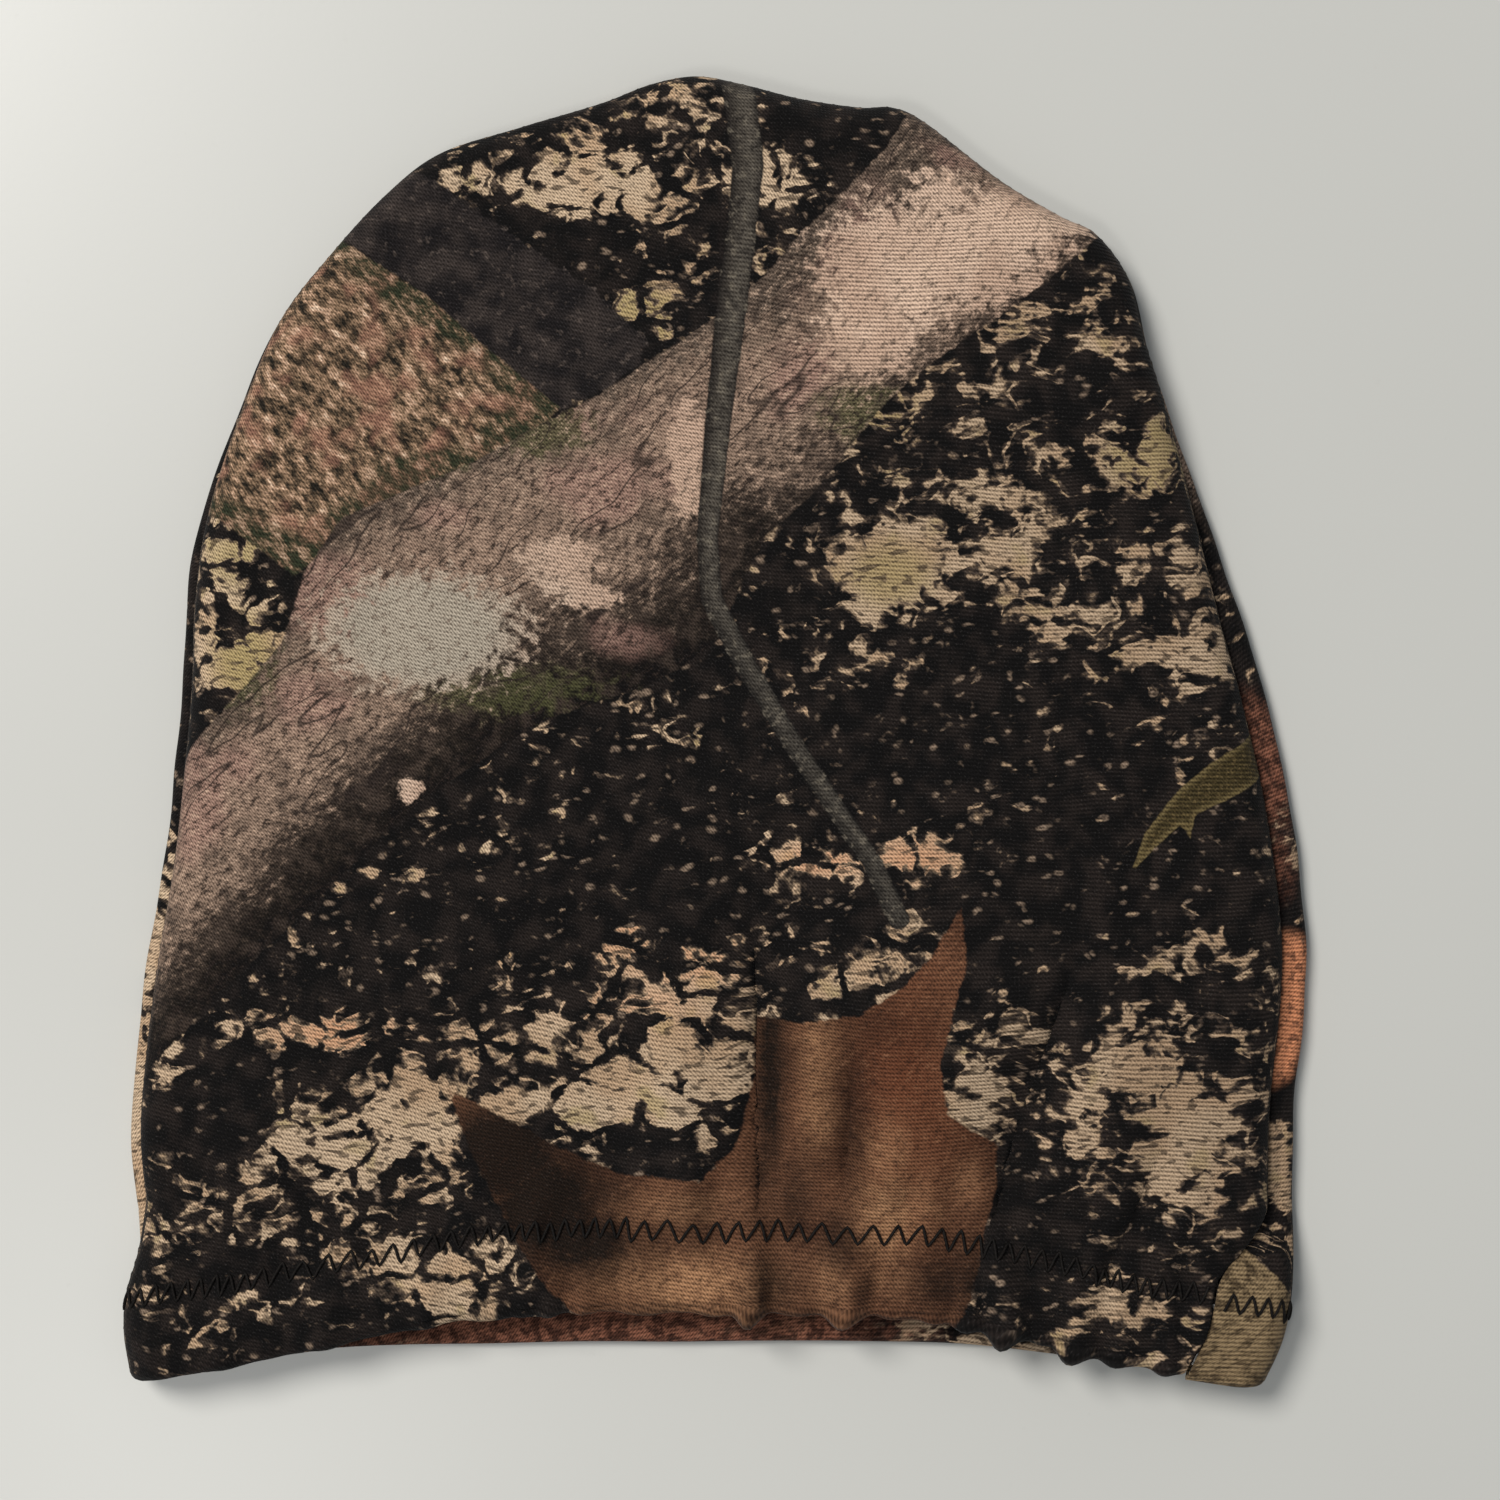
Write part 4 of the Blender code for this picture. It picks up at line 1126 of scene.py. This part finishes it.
    def twig(self, colour):
        """A grey twig, lit along its middle and darker lower down."""
        twig = self.layers(
            self.ramp(self.field("twig_t") * 0.5 + 0.5, (
                (0.0, (0.012, 0.010, 0.009)), (0.25, (0.040, 0.034, 0.028)), (0.62, (0.078, 0.068, 0.055)),
                (0.86, (0.052, 0.045, 0.037)), (1.0, (0.014, 0.012, 0.011)),
            )),
            (self.parts(self.p)[1].step(12.0, 34.0, 0.35, 0.0), (0.014, 0.014, 0.0125)),
            (self.lump.step(0.46, 0.36, 0.0, 0.6), (0.012, 0.010, 0.009)),
            (self.lump.step(0.52, 0.66, 0.0, 0.6), (0.15, 0.130, 0.10)),
        )
        return self.lay(colour, twig, self.field("twig"), 0.616, 0.2)

    def knit(self, colour):
        """The knit under the print: courses across it, with stitches leaning along them. Its colour has
        painted shade in the rib valleys, painted light on the crests and a painted glint.
        """
        run_x, run_y, _ = self.parts(self.place("knit"))
        course, wale = run_y * (2 * math.pi / RIB), run_x * (2 * math.pi / WALE)
        height = self.blend(self.streak * -0.25 + 0.55, course.crest(), (wale + course).crest())
        fuzz = self.noise(self.p, 2.6, 1, 0.6)
        # Painted shade in the rib valleys and painted light on the crests, with the fibres' random fuzz.
        depth = self.mix(height + (fuzz - 0.5) * 1.3, (0.34, 0.32, 0.31), (1.46, 1.44, 1.42))
        colour = self.mix(1.0, colour, depth, "MULTIPLY")
        # Pale specks on the rib crests: a painted glint.
        colour = self.mix(fuzz.step(0.56, 0.76) * (height * 0.045), colour, (0.46, 0.43, 0.41))
        finish = {"rough": 0.88, "shine": 0.12, "sheen": 0.035, "sheen_rough": 0.4}
        return self.surface(colour, height + fuzz * 0.35, 0.8, 0.16 * MM, **finish)


def knit_material(name, is_back):
    g = KnitPrint(name, is_back)
    colour = g.bark()
    if is_back:
        colour = g.patches(colour)
    for paint in (g.band, g.upper_limb, g.main_limb, g.leaf, g.leaf_tip, g.twig):
        colour = paint(colour)
    return g.knit(colour)


def thread_material(name, dark, light):
    g = Graph(name)
    ply = g.noise(g.node("TexCoord", {}, "Object"), 2600.0, 2, 0.6)
    return g.surface(g.mix(ply.step(0.35, 0.65), dark, light), ply, 0.5, 0.05 * MM, rough=0.7, shine=0.12)


def elastic_material():
    g = Graph("woven_elastic")
    run, across, _ = g.parts(g.place("cloth") * (1000.0, 1000.0, 1000.0))
    cord = (across * (2 * math.pi / CORD)).crest()
    height = ((run * (2 * math.pi / PICK)).crest() * 0.5 + 0.5) * cord
    # Grey in the weave's low places and white on its cords: painted shade of the weave.
    return g.surface(g.mix(height, (0.42, 0.41, 0.38), (0.80, 0.79, 0.76)), height, 0.7, 0.2 * MM, rough=0.75)


def floor_material():
    g = Graph("pale_table")
    place = g.node("TexCoord", {}, "Object")
    speck = g.noise(place, 420.0, 2, 0.5).step(0.72, 0.80)
    colour = g.layers(
        (0.490, 0.488, 0.460),
        (g.noise(place, 3.0, 3, 0.5), (0.555, 0.552, 0.522)),
        (speck * 0.12, (0.42, 0.41, 0.38)),
    )
    return g.surface(colour, g.noise(place, 900.0, 2, 0.5), 0.05, 0.1 * MM, rough=0.34, shine=0.5)


# ---------------------------------------------------------------- build the pieces

front, back = Panel(True), Panel(False)


def panel_piece(panel, name, prints, seed, material):
    points, flat, skirt_rows = panel.sheet()
    ni, nj = points.shape[:2]
    column = np.minimum(np.arange(ni - 1), np.arange(ni - 1)[::-1])[:, None]
    keep = (column >= SKIRT) | (np.arange(nj - 1) >= skirt_rows)
    pulled = let_out(points, flat, panel.front)
    attributes = {**prints(flat), **print_noise(flat, pulled, seed)}
    attributes["cloth"] = np.concatenate([pulled, np.zeros((ni, nj, 1))], axis=2)
    return thick_mesh(name, points, attributes, keep, CLOTH, material)


front_knit = knit_material("bark_print_front", is_back=False)
back_knit = knit_material("bark_print_back", is_back=True)
front_piece = panel_piece(front, "front_panel_cloth", front_print, 100, front_knit)
back_piece = panel_piece(back, "back_panel_cloth", back_print, 300, back_knit)


def elastic_piece():
    rows, coords = [], []
    for k in range(13):
        distance = ELASTIC_UP + ELASTIC_WIDTH * k / 12
        sides = [panel.inner(distance, FOLD_R)[SKIRT:-SKIRT] for panel in (front, back)]
        loop = np.concatenate([sides[0], sides[1][::-1], sides[0][:1]])
        rows.append(loop)
        run = run_along(loop)
        coords.append(stack(run, np.full_like(run, distance), 0 * run))
    points, cloth = (np.array(lines).transpose(1, 0, 2) for lines in (rows, coords))
    keep = np.ones((points.shape[0] - 1, points.shape[1] - 1), bool)
    return thick_mesh("elastic_loop", points, {"cloth": cloth}, keep, ELASTIC, elastic_material())


elastic = elastic_piece()


def thread_piece(name, points, radius, material):
    """A round thread along a line of points, as a mesh."""
    curve = bpy.data.curves.new(name, "CURVE")
    curve.dimensions = "3D"
    curve.bevel_depth = radius
    curve.bevel_resolution = 2
    curve.use_fill_caps = True
    line = curve.splines.new("POLY")
    line.points.add(len(points) - 1)
    line.points.foreach_set("co", np.column_stack([points, np.ones(len(points))]).astype(np.float32).ravel())
    path = new_object(name, curve)
    bpy.context.view_layer.update()
    graph = bpy.context.evaluated_depsgraph_get()
    mesh = bpy.data.meshes.new_from_object(path.evaluated_get(graph), depsgraph=graph)
    bpy.data.objects.remove(path)
    mesh.shade_smooth()
    mesh.materials.append(material)
    return new_object(name, mesh)


THREAD_R, NEEDLE_R, JOIN_R = 0.27 * MM, 0.16 * MM, 0.12 * MM
ZIGZAG_UP, ZIGZAG_HALF, ZIGZAG_CYCLE = 13.2 * MM, 1.8 * MM, 4.2 * MM
ZIGZAG_REACH, ZIGZAG_LINES = 2.6 * MM, 9  # lines along the hem, between which the stitches are placed
ZIGZAG_STEPS = 6  # points from one stitch to the next
LOOPER_FROM, LOOPER_CYCLE = 35 * MM, 3.2 * MM
LOOPER_IN, LOOPER_OUT = 1.7 * MM, 3.6 * MM  # from the seam to the looper's two sides
NEEDLE_PITCH, NEEDLE_CYCLE = 0.7 * MM, 2.4 * MM  # from point to point of its path, and from stitch to stitch
JOIN_X, JOIN_HALF, JOIN_UP, JOIN_LENGTH = 30 * MM, 4.5 * MM, 3.4 * MM, 8.0 * MM
JOIN_STITCHES = 30


def zigzag_path(panel, first, last, inside=False):
    """A zigzag along the hem, following the shaped cloth, as points."""
    lines, normals = [], []
    for off in np.linspace(-ZIGZAG_REACH, ZIGZAG_REACH, ZIGZAG_LINES):
        if inside:
            p = panel.inner(ZIGZAG_UP + off, 2 * FOLD_R + CLOTH / 2)
            n = -unit(panel.at(panel.normals, ZIGZAG_UP))
        else:
            p, n = panel.outer(ZIGZAG_UP + off)
            p = p + n * CLOTH / 2
        lines.append(p)
        normals.append(n)
    lines, normals = np.array(lines), np.array(normals)
    middle = lines[ZIGZAG_LINES // 2][first:last]
    run = run_along(middle)
    x = middle[:, 0] / MM
    crowd = smooth_step(x, -56, -42) * (1 - smooth_step(x, -20, -8))
    crowd = crowd + smooth_step(x, 38, 52) + smooth_step(-x, 70, 84)
    pace = 1 + 0.42 * np.clip(crowd, 0, 1) + 0.12 * np.sin(x / 5.3)
    beat = np.concatenate([[0.0], np.cumsum(np.diff(run) * (pace[1:] + pace[:-1]) / 2)])
    count = int(beat[-1] / (ZIGZAG_CYCLE / 2))
    jitter = np.random.default_rng(5)
    ticks = np.linspace(0.6 * MM, beat[-1] - 0.6 * MM, count + 1) + jitter.normal(0, 0.17 * MM, count + 1)
    knots = np.interp(ticks, beat, run)
    heights = np.where(np.arange(count + 1) % 2, 1, -1) * ZIGZAG_HALF * (1 + jitter.normal(0, 0.10, count + 1))

    def between(grid, row, column):
        """The grid's value at a row and a column that may lie between its own."""
        i, j = int(column), int(np.clip(row, 0, ZIGZAG_LINES - 2))
        near, far = (lerp(grid[j, c], grid[j + 1, c], row - j) for c in (i, i + 1))
        return lerp(near, far, column - i)

    path = []
    for k in range(count):
        for t in np.arange(ZIGZAG_STEPS) / ZIGZAG_STEPS:
            s = lerp(knots[k], knots[k + 1], t)
            h = lerp(heights[k], heights[k + 1], 0.45 * t + 0.55 * smooth_step(t, 0, 1))
            h = h + 0.55 * MM * math.sin(s / (6.3 * MM)) * math.sin(s / (15.0 * MM) + 1.0)
            column = first + np.interp(s, run, np.arange(len(run)))
            row = (h + ZIGZAG_REACH) / (2 * ZIGZAG_REACH) * (ZIGZAG_LINES - 1)
            n = unit(between(normals, int(np.clip(row, 0, ZIGZAG_LINES - 2)), column))
            path.append(between(lines, row, column) + n * (0.06 + 0.22 * math.sin(math.pi * t)) * MM)
    return np.array(path)


def looper_path(is_front):
    """The overlock's looper thread on the free face of one seam allowance."""
    stations, table = sections(is_front)
    count = int((edge.length - 2 * LOOPER_FROM) / (LOOPER_CYCLE / 2))
    s = np.linspace(LOOPER_FROM, edge.length - LOOPER_FROM, count + 1)
    ring = 2
    inset, z = (np.interp(s, stations, table[:, ring, k]) for k in range(2))
    inset = inset - ALLOWANCE[ring] * MM + np.where(np.arange(count + 1) % 2, LOOPER_OUT, LOOPER_IN)
    lift = CLOTH / 2 + THREAD_R + 0.1 * MM
    x, y = edge.at(s, inset)
    return stack(x, y + edge.hem_shift(s, x, is_front), z + (lift if is_front else -lift))


def needle_path():
    """The needle thread in the ditch between the panels, showing as small dots."""
    rings = front.shaped[SKIRT:-SKIRT, :-SKIRT]
    line = np.concatenate([rings[0, :-1], rings[:, -1], rings[-1, ::-1][1:]])
    run = run_along(line)
    s = np.linspace(0, run[-1], int(run[-1] / NEEDLE_PITCH))
    line = at_distances(s, run, line)
    tangent = unit(np.gradient(line, axis=0))
    outwards = unit(stack(-tangent[:, 1], tangent[:, 0], 0 * s))
    wave = np.sin(s / NEEDLE_CYCLE * 2 * math.pi)
    line = line + outwards * (0.35 * MM + 0.10 * MM * wave)[:, None]
    line[:, 2] += (-0.55 + 0.16 * wave) * MM
    return line


def join_path():
    """The stitches across the elastic where its two ends are joined."""
    points = []
    for k in range(JOIN_STITCHES + 1):
        p = back.inner(JOIN_UP + JOIN_LENGTH * k / JOIN_STITCHES, FOLD_R + ELASTIC / 2)[SKIRT:-SKIRT]
        x = JOIN_X + JOIN_HALF * (1 if k % 2 else -1)
        points.append(at_distances(x, p[:, 0], p) + np.array([0, 0, 0.2 * MM]))
    return np.array(points)


dark_thread = thread_material("dark_thread", (0.0022, 0.0018, 0.0015), (0.009, 0.007, 0.006))
seam_thread = thread_material("overlock_thread", (0.010, 0.008, 0.007), (0.05, 0.04, 0.034))
pale_thread = thread_material("pale_thread", (0.55, 0.55, 0.53), (0.85, 0.85, 0.83))
ni_front, ni_back = len(front.pos), len(back.pos)
front_stitch = zigzag_path(front, SKIRT + 3, ni_front - SKIRT - 2)
back_stitch = zigzag_path(back, SKIRT + 8, ni_back - SKIRT - 8, inside=True)
lobe_stitch = zigzag_path(back, ni_back - SKIRT - 16, ni_back - SKIRT - 1)
zig_front = thread_piece("front_zigzag", front_stitch, THREAD_R, dark_thread)
zig_back = thread_piece("back_zigzag", back_stitch, THREAD_R, dark_thread)
zig_lobe = thread_piece("lobe_zigzag", lobe_stitch, THREAD_R, dark_thread)
upper_looper = thread_piece("upper_looper_thread", looper_path(True), THREAD_R, seam_thread)
lower_looper = thread_piece("lower_looper_thread", looper_path(False), THREAD_R, seam_thread)
needle = thread_piece("needle_thread", needle_path(), NEEDLE_R, seam_thread)
join = thread_piece("elastic_join_thread", join_path(), JOIN_R, pale_thread)

# ---------------------------------------------------------------- how the pieces ride

for ob in (front_piece, back_piece, elastic, zig_front, zig_back, zig_lobe, needle):
    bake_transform(ob)
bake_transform(upper_looper)
for ob in (lower_looper, join):
    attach(ob, "back")
for ob, node, slot in (
    (front_piece, "front_panel", "front_knit"),
    (back_piece, "back_panel", "back_knit"),
    (elastic, "elastic_band", "elastic"),
    (zig_front, "front_hem_zigzag", "dark_thread"),
    (zig_back, "back_hem_zigzag", "dark_thread"),
    (zig_lobe, "back_hem_zigzag", "dark_thread"),
    (upper_looper, "seam_upper_looper", "overlock_thread"),
    (lower_looper, "seam_lower_looper", "overlock_thread"),
    (needle, "seam_needle_thread", "overlock_thread"),
    (join, "elastic_join_stitch", "elastic_thread"),
):
    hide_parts(node)

# ---------------------------------------------------------------- table, light and camera

bpy.ops.mesh.primitive_plane_add(size=3.0, location=(0, 0, -0.05 * MM))
floor = bpy.context.object
floor.name = "floor"
floor.data.materials.append(floor_material())


def area_light(name, place, target, size, power, colour):
    data = bpy.data.lights.new(name, "AREA")
    data.shape = "DISK"
    data.size = size
    data.energy = power
    data.color = colour
    ob = new_object(name, data)
    ob.location = place
    ob.rotation_euler = (Vector(target) - Vector(place)).to_track_quat("-Z", "Y").to_euler()


area_light("window", (-1.10, 0.95, 2.05), (0, 0, 0), 1.00, 57.0, (1.0, 0.975, 0.94))
area_light("ceiling", (-0.36, -0.42, 1.3), (-0.10, -0.12, 0), 0.26, 3.0, (1.0, 0.99, 0.96))
scene = bpy.context.scene
scene.world = bpy.data.worlds.new("room_light")
scene.world.use_nodes = True
room = scene.world.node_tree.nodes["Background"].inputs
room["Color"].default_value = (0.90, 0.95, 1.0, 1.0)
room["Strength"].default_value = 0.32
scene.view_settings.view_transform = "Standard"
scene.view_settings.look = "None"

VIEW_X, VIEW_Y, VIEW_Z = 5.85 * MM, -3.65 * MM, 6 * MM  # middle of the view, at the mask's half height
VIEW_WIDTH = 270 * MM
VIEW_HEIGHT = 560 * MM
SENSOR = 36.0
camera_data = bpy.data.cameras.new("camera")
camera_data.sensor_width = SENSOR
camera_data.lens = SENSOR * VIEW_HEIGHT / VIEW_WIDTH
camera_data.clip_start = 0.01
camera = new_object("camera", camera_data)
camera.location = (VIEW_X, VIEW_Y, VIEW_Z + VIEW_HEIGHT)
scene.camera = camera
